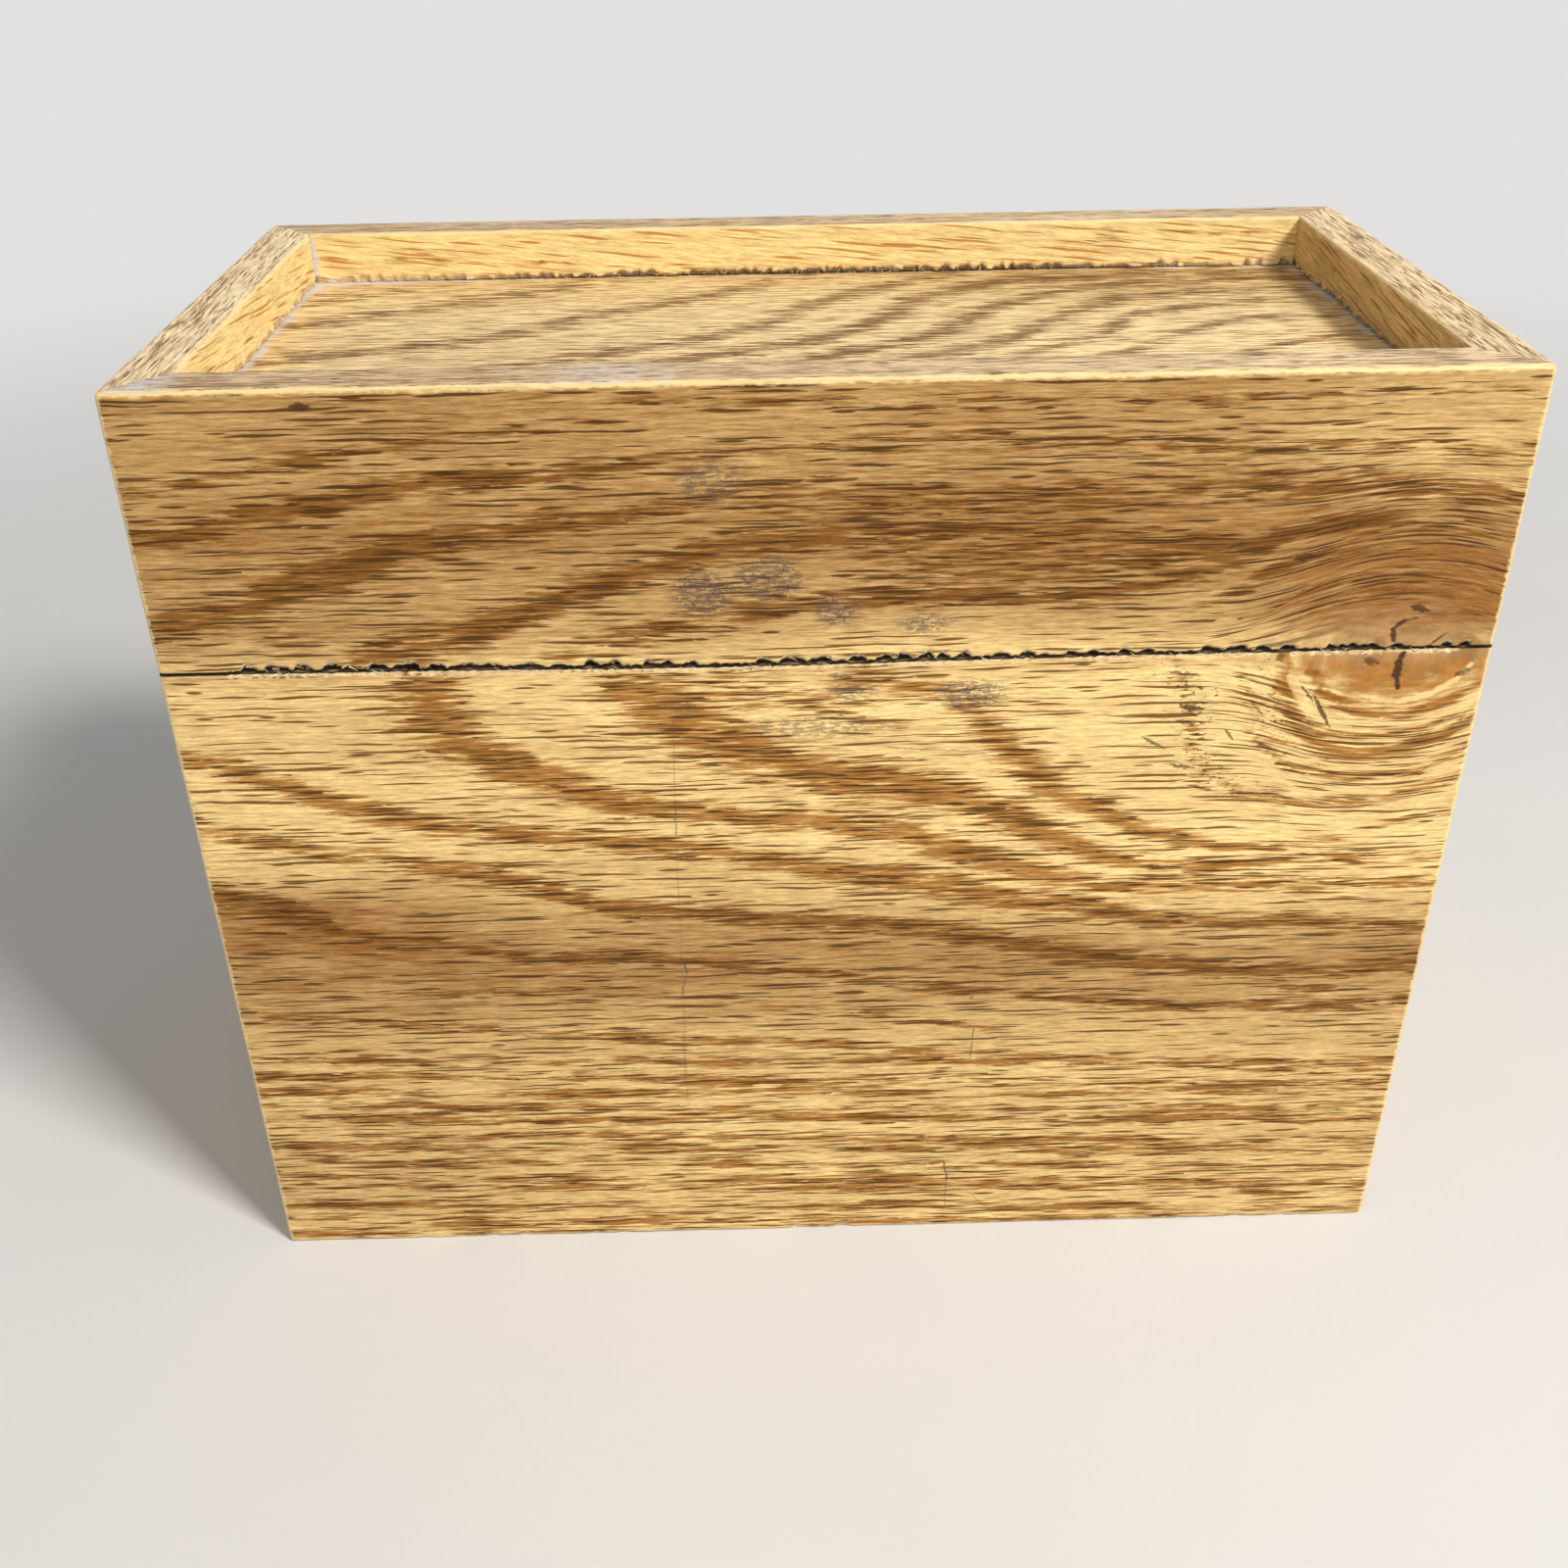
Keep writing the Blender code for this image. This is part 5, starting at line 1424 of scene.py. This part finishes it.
def panel(name, low, high, body, seed, top_look, bottom_look):
    """A flat panel whose upper face carries the figure, with its edges hidden in the boards' grooves."""
    wood = bpy.context.scene.card_box_wood
    step = wood.face_step
    count = round((high.y - low.y) / step)
    top = [(low.y + (high.y - low.y) * i / count, high.z, step) for i in range(count + 1)]
    count = round((high.y - low.y) / wood.hidden_step)
    under = [(high.y - (high.y - low.y) * i / count, low.z, wood.hidden_step) for i in range(count + 1)]
    rows = []
    depth = []
    level = []
    for y, z, spacing in (*top, *under):
        places = np.linspace(low.x, high.x, round((high.x - low.x) / spacing) + 1)
        rows.append((np.stack([places, np.full_like(places, y), np.full_like(places, z)], axis=1), places))
        depth.append(np.full_like(places, y))
        level.append(np.full_like(places, z))
    x = (np.concatenate([places for _, places in rows]) - LEFT_X) / MM
    y = (np.concatenate(depth) - FRONT_Y) / MM
    upper = np.concatenate(level) > (low.z + high.z) / 2
    band, tone, knot = plain_figure(x, y, seed)
    if top_look == "oak panel":
        strokes = [even_stroke(1.3 * half, strength, *points) for half, strength, *points in PANEL_RINGS]
        band = np.where(upper, stroke_shade(x, y, strokes), band)
        brown = 0.32 * np.exp(-((x - 135) / 42) ** 2 - ((y - 76) / 14) ** 2)
        pale = 0.24 * np.exp(-((x - 140) / 32) ** 2 - ((y - 32) / 18) ** 2)
        tone = np.where(upper, 0.2 + 0.1 * waves(x / 19, y / 9) + brown - pale, tone)
    rim = min(WALL / MM, 8.0)
    patchy = 0.8 + 0.35 * waves(x / 2.3, y / 1.9, (x + y) / 5.1)
    behind = BOX_DEPTH / MM - rim - y
    beside = BOX_WIDTH / MM - rim - x
    left = 0.75 * np.exp(-((x - rim) / 2.0) ** 2)
    right = 0.7 * np.exp(-(beside / 2.6) ** 2)
    thick = end_dust(x - rim, beside)
    back = (0.5 + 0.5 * thick) * np.exp(-(behind / (1.0 + 1.1 * thick)) ** 2)
    front = 0.45 * np.exp(-((y - rim) / 1.2) ** 2)
    corner = 0.3 * np.exp(-(np.hypot(x - rim, behind) / 7) ** 2)
    dust = np.where(upper, patchy * np.maximum.reduce([left, right, back, front]) + corner, 0)
    attributes = {
        "fibre": np.stack([x, y, np.where(upper, seed, seed + 0.5)], axis=1),
        "band": band,
        "tone": np.clip(tone, 0, 1),
        "knot": knot,
        "dust": dust if top_look == "oak panel" else dust * 0.4,
        "edge": np.full_like(x, 4.0),
        "torn": np.zeros_like(x),
        "grime_and_shade": np.zeros_like(x),
    }
    kinds = ["top"] * len(top) + ["under"] * len(under)
    mesh = loft(name, rows, kinds, ["top", "under"], attributes)
    shade(mesh, 30)
    return finished(f"oak_{name}", mesh, [top_look, bottom_look], body, [name])


def dressed_copy(node, name, body):
    """A hinge piece from the frame with its seams merged and its arrises softened."""
    brass = bpy.context.scene.card_box_brass
    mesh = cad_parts[node].data.copy()
    mesh.name = name
    shape = bmesh.new()
    shape.from_mesh(mesh)
    bmesh.ops.remove_doubles(shape, verts=shape.verts, dist=0.001 * MM)
    bmesh.ops.dissolve_limit(shape, angle_limit=math.radians(1), verts=shape.verts, edges=shape.edges)
    sharp = [edge for edge in shape.edges if edge.is_manifold and edge.calc_face_angle(0) > math.radians(50)]
    bmesh.ops.bevel(shape, geom=sharp, offset=brass.arris, segments=2, affect="EDGES", clamp_overlap=True)
    bmesh.ops.recalc_face_normals(shape, faces=shape.faces)
    shape.to_mesh(mesh)
    shape.free()
    shade(mesh, 30)
    return finished(name, mesh, ["brass"], body, [node])


def screw_tree():
    """Geometry nodes that put a slotted countersunk screw on each point they are given."""
    sizes = ("Head Radius", "Head Rim", "Head Height", "Shank Radius", "Shank Length", "Slot Width", "Slot Depth")
    nodes, given, result = new_group(
        "slotted screws",
        "GeometryNodeTree",
        (("Points", "Geometry"), *((size, "Float") for size in sizes), ("Brass", "Material")),
        (("Screws", "Geometry"),),
    )
    rim = nodes.add(
        "GeometryNodeMeshCylinder",
        {"Vertices": 32, "Radius": given["Head Radius"], "Depth": given["Head Rim"]},
    )
    shape = rim.outputs["Mesh"]
    picked = rim.outputs["Bottom"]
    shank_share = nodes.maths("DIVIDE", given["Shank Radius"], given["Head Radius"])
    stretches = (
        (given["Head Height"], shank_share),
        (nodes.maths("MULTIPLY", given["Shank Length"], 0.74), 1.0),
        (nodes.maths("MULTIPLY", given["Shank Length"], 0.26), 0.15),
    )
    for reach, narrowing in stretches:
        pushed = nodes.add(
            "GeometryNodeExtrudeMesh", {"Mesh": shape, "Selection": picked, "Offset Scale": reach}
        )
        picked = pushed.outputs["Top"]
        shape = nodes.add(
            "GeometryNodeScaleElements",
            {"Geometry": pushed.outputs["Mesh"], "Selection": picked, "Scale": narrowing},
        ).outputs[0]
    bar_size = nodes.vector(
        nodes.maths("MULTIPLY", given["Head Radius"], 3.0),
        given["Slot Width"],
        nodes.maths("MULTIPLY", given["Slot Depth"], 2.0),
    )
    bar = nodes.add("GeometryNodeMeshCube", {"Size": bar_size}).outputs["Mesh"]
    rise = nodes.vector(0.0, 0.0, nodes.maths("MULTIPLY", given["Head Rim"], 0.5))
    bar = nodes.add("GeometryNodeTransform", {"Geometry": bar, "Translation": rise}).outputs[0]
    slotted = nodes.add("GeometryNodeMeshBoolean", operation="DIFFERENCE", solver="EXACT")
    nodes.tree.links.new(shape, slotted.inputs["Mesh 1"])
    nodes.tree.links.new(bar, slotted.inputs["Mesh 2"])
    turn = nodes.add("GeometryNodeInputNamedAttribute", {"Name": "turn"}, data_type="FLOAT_VECTOR").outputs[0]
    rows = nodes.add(
        "GeometryNodeInstanceOnPoints",
        {"Points": given["Points"], "Instance": slotted.outputs["Mesh"], "Rotation": turn},
    ).outputs[0]
    real = nodes.add("GeometryNodeRealizeInstances", {"Geometry": rows}).outputs[0]
    done = nodes.add("GeometryNodeSetMaterial", {"Geometry": real, "Material": given["Brass"]}).outputs[0]
    nodes.tree.links.new(done, result["Screws"])
    return nodes.tree


def grown(name, points, attributes, tree, values):
    """A plain mesh from a geometry node tree run over loose points with the given attributes."""
    seeds = bpy.data.meshes.new(f"{name} points")
    seeds.from_pydata([tuple(point) for point in points], [], [])
    for label, vectors in attributes.items():
        flat = np.asarray(vectors, np.float32)
        kind = "FLOAT_VECTOR" if flat.ndim == 2 else "FLOAT"
        data = seeds.attributes.new(label, kind, "POINT").data
        data.foreach_set("vector" if flat.ndim == 2 else "value", flat.ravel())
    carrier = bpy.data.objects.new(f"{name} points", seeds)
    bpy.context.scene.collection.objects.link(carrier)
    modifier = carrier.modifiers.new("nodes", "NODES")
    modifier.node_group = tree
    for item in tree.interface.items_tree:
        if item.item_type == "SOCKET" and item.in_out == "INPUT" and item.name in values:
            modifier[item.identifier] = values[item.name]
    bpy.context.view_layer.update()
    depsgraph = bpy.context.evaluated_depsgraph_get()
    mesh = bpy.data.meshes.new_from_object(carrier.evaluated_get(depsgraph), depsgraph=depsgraph)
    mesh.name = name
    bpy.data.objects.remove(carrier, do_unlink=True)
    return mesh


def screws(level, body):
    """The four screws of the lower or the upper leaves, each with its slot left at its own angle."""
    brass = bpy.context.scene.card_box_brass
    up = level == "lower"
    nodes = [f"{hinge}_{level}_screw_{number}" for hinge in HINGE_NAMES for number in (1, 2)]
    points = []
    turns = []
    for i, node in enumerate(nodes):
        low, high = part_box(node)
        sink = brass.head_rim / 2
        z = high.z - sink if up else low.z + sink
        points.append(((low.x + high.x) / 2, (low.y + high.y) / 2, z))
        turns.append((0 if up else math.pi, 0, 0.5 + 1.9 * i))
    tree = build_once("slotted screws", lambda name: screw_tree())
    mesh = grown(f"{level}_screws", points, {"turn": turns}, tree, {
        "Head Radius": brass.head_radius,
        "Head Rim": brass.head_rim,
        "Head Height": brass.head_height,
        "Shank Radius": brass.shank_radius,
        "Shank Length": brass.screw_length,
        "Slot Width": brass.slot_width,
        "Slot Depth": brass.slot_depth,
        "Brass": materials()["brass"],
    })
    shade(mesh, 30)
    return finished(f"brass_{level}_screws", mesh, ["brass"], body, nodes)


def fibre_tree():
    """Geometry nodes that lay a curved, tapering wood fibre on each point they are given."""
    nodes, given, result = new_group(
        "torn fibres",
        "GeometryNodeTree",
        (("Points", "Geometry"), ("Fibre Length", "Float"), ("Fibre Radius", "Float"), ("Curl", "Float"),
         ("Wood", "Material")),
        (("Fibres", "Geometry"),),
    )
    line = nodes.add("GeometryNodeCurvePrimitiveLine", {"End": nodes.vector(0.0, 0.0, given["Fibre Length"])})
    line = nodes.add("GeometryNodeResampleCurve", {"Curve": line.outputs[0], "Count": 5}).outputs[0]
    along = nodes.add("GeometryNodeSplineParameter").outputs["Factor"]
    bend = nodes.maths("MULTIPLY", nodes.maths("POWER", along, 2.0), given["Curl"])
    bend = nodes.maths("MULTIPLY", bend, given["Fibre Length"])
    line = nodes.add("GeometryNodeSetPosition", {"Geometry": line, "Offset": nodes.vector(bend)}).outputs[0]
    taper = nodes.maths("SUBTRACT", 1.1, along)
    line = nodes.add("GeometryNodeSetCurveRadius", {"Curve": line, "Radius": taper}).outputs[0]
    ring = nodes.add("GeometryNodeCurvePrimitiveCircle", {"Resolution": 4, "Radius": given["Fibre Radius"]})
    fibre = nodes.add(
        "GeometryNodeCurveToMesh",
        {"Curve": line, "Profile Curve": ring.outputs["Curve"], "Scale": taper, "Fill Caps": True},
    ).outputs[0]
    direction = nodes.add(
        "GeometryNodeInputNamedAttribute", {"Name": "direction"}, data_type="FLOAT_VECTOR"
    ).outputs[0]
    turn = nodes.add("FunctionNodeAlignRotationToVector", {"Vector": direction}, axis="Z").outputs[0]
    size = nodes.add("GeometryNodeInputNamedAttribute", {"Name": "size"}, data_type="FLOAT").outputs[0]
    laid = nodes.add(
        "GeometryNodeInstanceOnPoints",
        {"Points": given["Points"], "Instance": fibre, "Rotation": turn, "Scale": size},
    ).outputs[0]
    real = nodes.add("GeometryNodeRealizeInstances", {"Geometry": laid}).outputs[0]
    done = nodes.add("GeometryNodeSetMaterial", {"Geometry": real, "Material": given["Wood"]}).outputs[0]
    nodes.tree.links.new(done, result["Fibres"])
    return nodes.tree


def seam_fibres(lid, count, random):
    """Roots, directions and sizes of the fibres along one side of the saw cut."""
    level = LID_FOOT if lid else BASE_TOP
    up = 1 if lid else -1
    points, directions, sizes = [], [], []
    for side in SIDES:
        run = side_run(side)
        share_here = (0.5 if lid else 1.7) if side.name == "front" else 0.5
        for _ in range(round(count * run / (2 * (BOX_WIDTH + BOX_DEPTH)) * share_here)):
            place = random.uniform(-run / 2 + 4 * MM, run / 2 - 4 * MM)
            if side.name == "front" and not -78 * MM < place < 83 * MM:
                continue
            sag = 0.0
            if side.name == "front":
                sag = math.exp(-((place + 14 * MM) / (34 * MM)) ** 2) * bpy.context.scene.card_box_wood.saw_sag
            reach = (random.uniform(0.3, 0.9) if lid else random.uniform(0.08, 0.42)) * MM
            root = side_points(side, np.array([place]), np.array([random.uniform(0.1, 0.3) * MM]),
                               np.array([level - sag + up * reach]))[0]
            lean = random.choice((-1, 1))
            direction = Vector((side.along[0] * lean, side.along[1] * lean, -up * random.uniform(-0.25, 0.3)))
            points.append(root)
            directions.append(direction)
            sizes.append(random.uniform(0.35, 1.1))
    return points, directions, sizes


def recess_fibres(count, random):
    """Roots, directions and sizes of the fibres where the rails meet the sunk panel."""
    points, directions, sizes = [], [], []
    for side in SIDES:
        run = side_run(side) - 2 * WALL
        for _ in range(round(count * run / (2 * (BOX_WIDTH + BOX_DEPTH)))):
            place = random.uniform(-run / 2, run / 2)
            root = side_points(side, np.array([place]), np.array([WALL - 0.1 * MM]),
                               np.array([TOP_PANEL_HIGH.z + random.uniform(0.25, 1.0) * MM]))[0]
            out = Vector((-side.out[0], -side.out[1], 0)) * random.uniform(0.1, 0.5)
            drift = Vector((side.along[0], side.along[1], 0)) * random.uniform(-0.6, 0.6)
            points.append(root)
            directions.append(out + drift + Vector((0, 0, random.uniform(-0.9, -0.2))))
            sizes.append(random.uniform(0.3, 0.75))
    return points, directions, sizes


def keep_inside(mesh, count):
    """Moves each fibre that stands out of the wooden box back in by as much as it stands out."""
    places = np.empty(len(mesh.vertices) * 3, np.float32)
    mesh.vertices.foreach_get("co", places)
    places = places.reshape(count, -1, 3)
    margin = 0.01 * MM
    low = np.array((LEFT_X + margin, FRONT_Y + margin, 0))
    high = np.array((RIGHT_X - margin, BACK_Y - margin, BOX_TOP))
    below = np.maximum(low - places.min(axis=1), 0)
    beyond = np.maximum(places.max(axis=1) - high, 0)
    places = places + (below - beyond)[:, None]
    mesh.vertices.foreach_set("co", places.astype(np.float32).ravel())


def fibres(name, body, laid):
    """One piece of torn fibres from their roots, directions and sizes."""
    tears = bpy.context.scene.card_box_tears
    points, directions, sizes = laid
    mesh = grown(name, points, {"direction": directions, "size": sizes}, build_once(
        "torn fibres", lambda label: fibre_tree()
    ), {
        "Fibre Length": tears.fibre_length,
        "Fibre Radius": tears.fibre_radius,
        "Curl": 0.35,
        "Wood": materials()["torn fibre"],
    })
    keep_inside(mesh, len(points))
    return finished(name, mesh, ["torn fibre"], body, [])


def look_along(direction):
    """A rotation that points a lamp's or a camera's view along a direction, with +Z up."""
    return Vector(direction).to_track_quat("-Z", "Y").to_euler()


def area_lamp(name, place, power, size, tint):
    """A square soft lamp that looks at the middle of the box."""
    lamp = bpy.data.lights.new(name, "AREA")
    lamp.energy = power
    lamp.size = size
    lamp.color = tint
    obj = bpy.data.objects.new(name, lamp)
    bpy.context.scene.collection.objects.link(obj)
    obj.location = place
    obj.rotation_euler = look_along(Vector((0, 0, BOX_TOP / 2)) - Vector(place))
    return obj


def add_camera():
    """The camera at the photograph's place, with its turn and its field of view."""
    turn = (
        Matrix.Rotation(CAMERA_YAW, 3, "Z") @ Matrix.Rotation(CAMERA_ROLL, 3, "Y") @ Matrix.Rotation(CAMERA_PITCH, 3, "X")
    )
    right, ahead, above = turn[0], turn[1], turn[2]
    camera = bpy.data.cameras.new("photo camera")
    camera.sensor_width = SENSOR_WIDTH
    camera.lens = FOCAL_PIXELS / IMAGE_PIXELS * SENSOR_WIDTH
    camera.clip_start = 0.01
    obj = bpy.data.objects.new("photo camera", camera)
    bpy.context.scene.collection.objects.link(obj)
    rotation = Matrix((right, above, -ahead)).transposed()
    obj.matrix_world = Matrix.Translation(CAMERA_PLACE) @ rotation.to_4x4()
    bpy.context.scene.camera = obj


def seen_directly(nodes):
    """One where a surface is seen by the camera, in a reflection or through glass."""
    rays = nodes.add("ShaderNodeLightPath").outputs
    seen = nodes.maths("MAXIMUM", rays["Is Camera Ray"], rays["Is Transmission Ray"])
    return nodes.maths("MAXIMUM", seen, rays["Is Glossy Ray"])


def add_floor():
    """A plain pale floor."""
    stage = bpy.context.scene.card_box_stage
    shape = bmesh.new()
    bmesh.ops.create_circle(shape, cap_ends=True, segments=96, radius=stage.floor_radius)
    mesh = bpy.data.meshes.new("floor")
    shape.to_mesh(mesh)
    shape.free()
    floor = bpy.data.objects.new("floor", mesh)
    bpy.context.scene.collection.objects.link(floor)
    material, nodes, shader = new_material("studio floor")
    place = nodes.add("ShaderNodeTexCoord").outputs["Object"]
    cloud = nodes.noise(place, 3.0, 0.5, 9.0)
    base = tuple(stage.floor)
    surface = nodes.mix(nodes.rise(cloud, 0.3, 0.7), (*base, 1), (*colour_shift(base, (0.97, 0.97, 0.97)), 1))
    nodes.tree.links.new(surface, shader.inputs["Base Color"])
    shader.inputs["Roughness"].default_value = 0.9
    distance = nodes.add("ShaderNodeVectorMath", {0: place}, operation="LENGTH").outputs["Value"]
    far = nodes.maths("MULTIPLY", nodes.rise(distance, 0.22, 0.7), seen_directly(nodes))
    pale = nodes.add("ShaderNodeEmission", {"Color": (*stage.world, 1), "Strength": 1.0}).outputs[0]
    shown = nodes.add("ShaderNodeMixShader", {0: far, 1: shader.outputs[0], 2: pale}).outputs[0]
    nodes.tree.links.new(shown, material.node_tree.nodes["Material Output"].inputs["Surface"])
    mesh.materials.append(material)


def add_world():
    """Even surroundings, a little brighter where the camera, metal or gloss sees them."""
    stage = bpy.context.scene.card_box_stage
    world = bpy.data.worlds.new("studio")
    world.use_nodes = True
    bpy.context.scene.world = world
    nodes = Nodes(world.node_tree)
    background = world.node_tree.nodes["Background"]
    background.inputs["Color"].default_value = (*stage.world, 1)
    background.inputs["Strength"].default_value = stage.world_strength
    pale = nodes.add("ShaderNodeBackground", {"Color": (*stage.world, 1), "Strength": 1.0})
    shown = nodes.add("ShaderNodeMixShader", {0: seen_directly(nodes), 1: background.outputs[0], 2: pale.outputs[0]})
    nodes.tree.links.new(shown.outputs[0], world.node_tree.nodes["World Output"].inputs["Surface"])


class CARDBOX_OT_stage(Operator):
    """Make the floor, the lamps, the surroundings and the camera"""

    bl_idname = "cardbox.stage"
    bl_label = "Stage"

    def execute(self, context):
        stage = context.scene.card_box_stage
        context.scene.view_settings.view_transform = "Standard"
        add_camera()
        add_floor()
        add_world()
        area_lamp("key lamp", (0.62, -0.62, 0.96), stage.key_power, stage.key_size, (1.0, 0.98, 0.95))
        area_lamp("fill lamp", (-1.0, -0.9, 0.7), stage.fill_power, stage.fill_size, (0.96, 0.98, 1.0))
        return {"FINISHED"}


class CARDBOX_OT_base_boards(Operator):
    """Make the four mitred boards of the base"""

    bl_idname = "cardbox.base_boards"
    bl_label = "Base boards"

    def execute(self, context):
        for side in SIDES:
            board(side, lid=False)
        return {"FINISHED"}


class CARDBOX_OT_lid_rails(Operator):
    """Make the four mitred rails of the lid"""

    bl_idname = "cardbox.lid_rails"
    bl_label = "Lid rails"

    def execute(self, context):
        for side in SIDES:
            board(side, lid=True)
        return {"FINISHED"}


class CARDBOX_OT_panels(Operator):
    """Make the lid's sunk panel and the bottom panel"""

    bl_idname = "cardbox.panels"
    bl_label = "Panels"

    def execute(self, context):
        panel("lid_panel", TOP_PANEL_LOW, TOP_PANEL_HIGH, "lid", 6.0, "oak panel", "oak inside")
        panel("bottom_panel", BOTTOM_PANEL_LOW, BOTTOM_PANEL_HIGH, "base", 7.0, "oak inside", "oak sawn")
        return {"FINISHED"}


class CARDBOX_OT_hinges(Operator):
    """Make the leaves and pins of the two butt hinges"""

    bl_idname = "cardbox.hinges"
    bl_label = "Hinges"

    def execute(self, context):
        for hinge in HINGE_NAMES:
            dressed_copy(f"{hinge}_lower_leaf", f"brass_{hinge}_lower_leaf", "base")
            dressed_copy(f"{hinge}_upper_leaf", f"brass_{hinge}_upper_leaf", "lid")
            dressed_copy(f"{hinge}_pin", f"brass_{hinge}_pin", "base")
        return {"FINISHED"}


class CARDBOX_OT_screws(Operator):
    """Make the slotted screws of the hinges"""

    bl_idname = "cardbox.screws"
    bl_label = "Screws"

    def execute(self, context):
        screws("lower", "base")
        screws("upper", "lid")
        return {"FINISHED"}


class CARDBOX_OT_fibres(Operator):
    """Make the fibres torn up along the saw cut and round the sunk panel"""

    bl_idname = "cardbox.fibres"
    bl_label = "Torn fibres"

    def execute(self, context):
        tears = context.scene.card_box_tears
        random = np.random.default_rng(tears.seed)
        fibres("base_torn_fibres", "base", seam_fibres(False, tears.seam_count, random))
        above = seam_fibres(True, tears.seam_count, random)
        around = recess_fibres(tears.recess_count, random)
        fibres("lid_torn_fibres", "lid", [first + second for first, second in zip(above, around)])
        return {"FINISHED"}


SETTINGS = {
    "card_box_wood": CardBoxWood,
    "card_box_brass": CardBoxBrass,
    "card_box_tears": CardBoxTears,
    "card_box_stage": CardBoxStage,
}
OPERATORS = (
    CARDBOX_OT_stage,
    CARDBOX_OT_base_boards,
    CARDBOX_OT_lid_rails,
    CARDBOX_OT_panels,
    CARDBOX_OT_hinges,
    CARDBOX_OT_screws,
    CARDBOX_OT_fibres,
)


class CARDBOX_PT_panel(Panel):
    """Lists the card box's settings and the steps that make it"""

    bl_idname = "CARDBOX_PT_panel"
    bl_label = "Recipe card box"
    bl_space_type = "VIEW_3D"
    bl_region_type = "UI"
    bl_category = "Card Box"

    def draw(self, context):
        for operator in OPERATORS:
            self.layout.operator(operator.bl_idname)
        for settings, group in SETTINGS.items():
            box = self.layout.box()
            for name in group.__annotations__:
                box.prop(getattr(context.scene, settings), name)


def register():
    """Adds the settings, the operators and the panel to Blender."""
    for group in (*SETTINGS.values(), *OPERATORS, CARDBOX_PT_panel):
        bpy.utils.register_class(group)
    for name, group in SETTINGS.items():
        setattr(bpy.types.Scene, name, PointerProperty(type=group))


def unregister():
    """Takes them out again."""
    for name in SETTINGS:
        delattr(bpy.types.Scene, name)
    for group in reversed((*SETTINGS.values(), *OPERATORS, CARDBOX_PT_panel)):
        bpy.utils.unregister_class(group)


def main():
    """Makes every piece and the stage."""
    register()
    bpy.ops.cardbox.stage()
    bpy.ops.cardbox.base_boards()
    bpy.ops.cardbox.lid_rails()
    bpy.ops.cardbox.panels()
    bpy.ops.cardbox.hinges()
    bpy.ops.cardbox.screws()
    bpy.ops.cardbox.fibres()


if __name__ == "__main__":
    main()
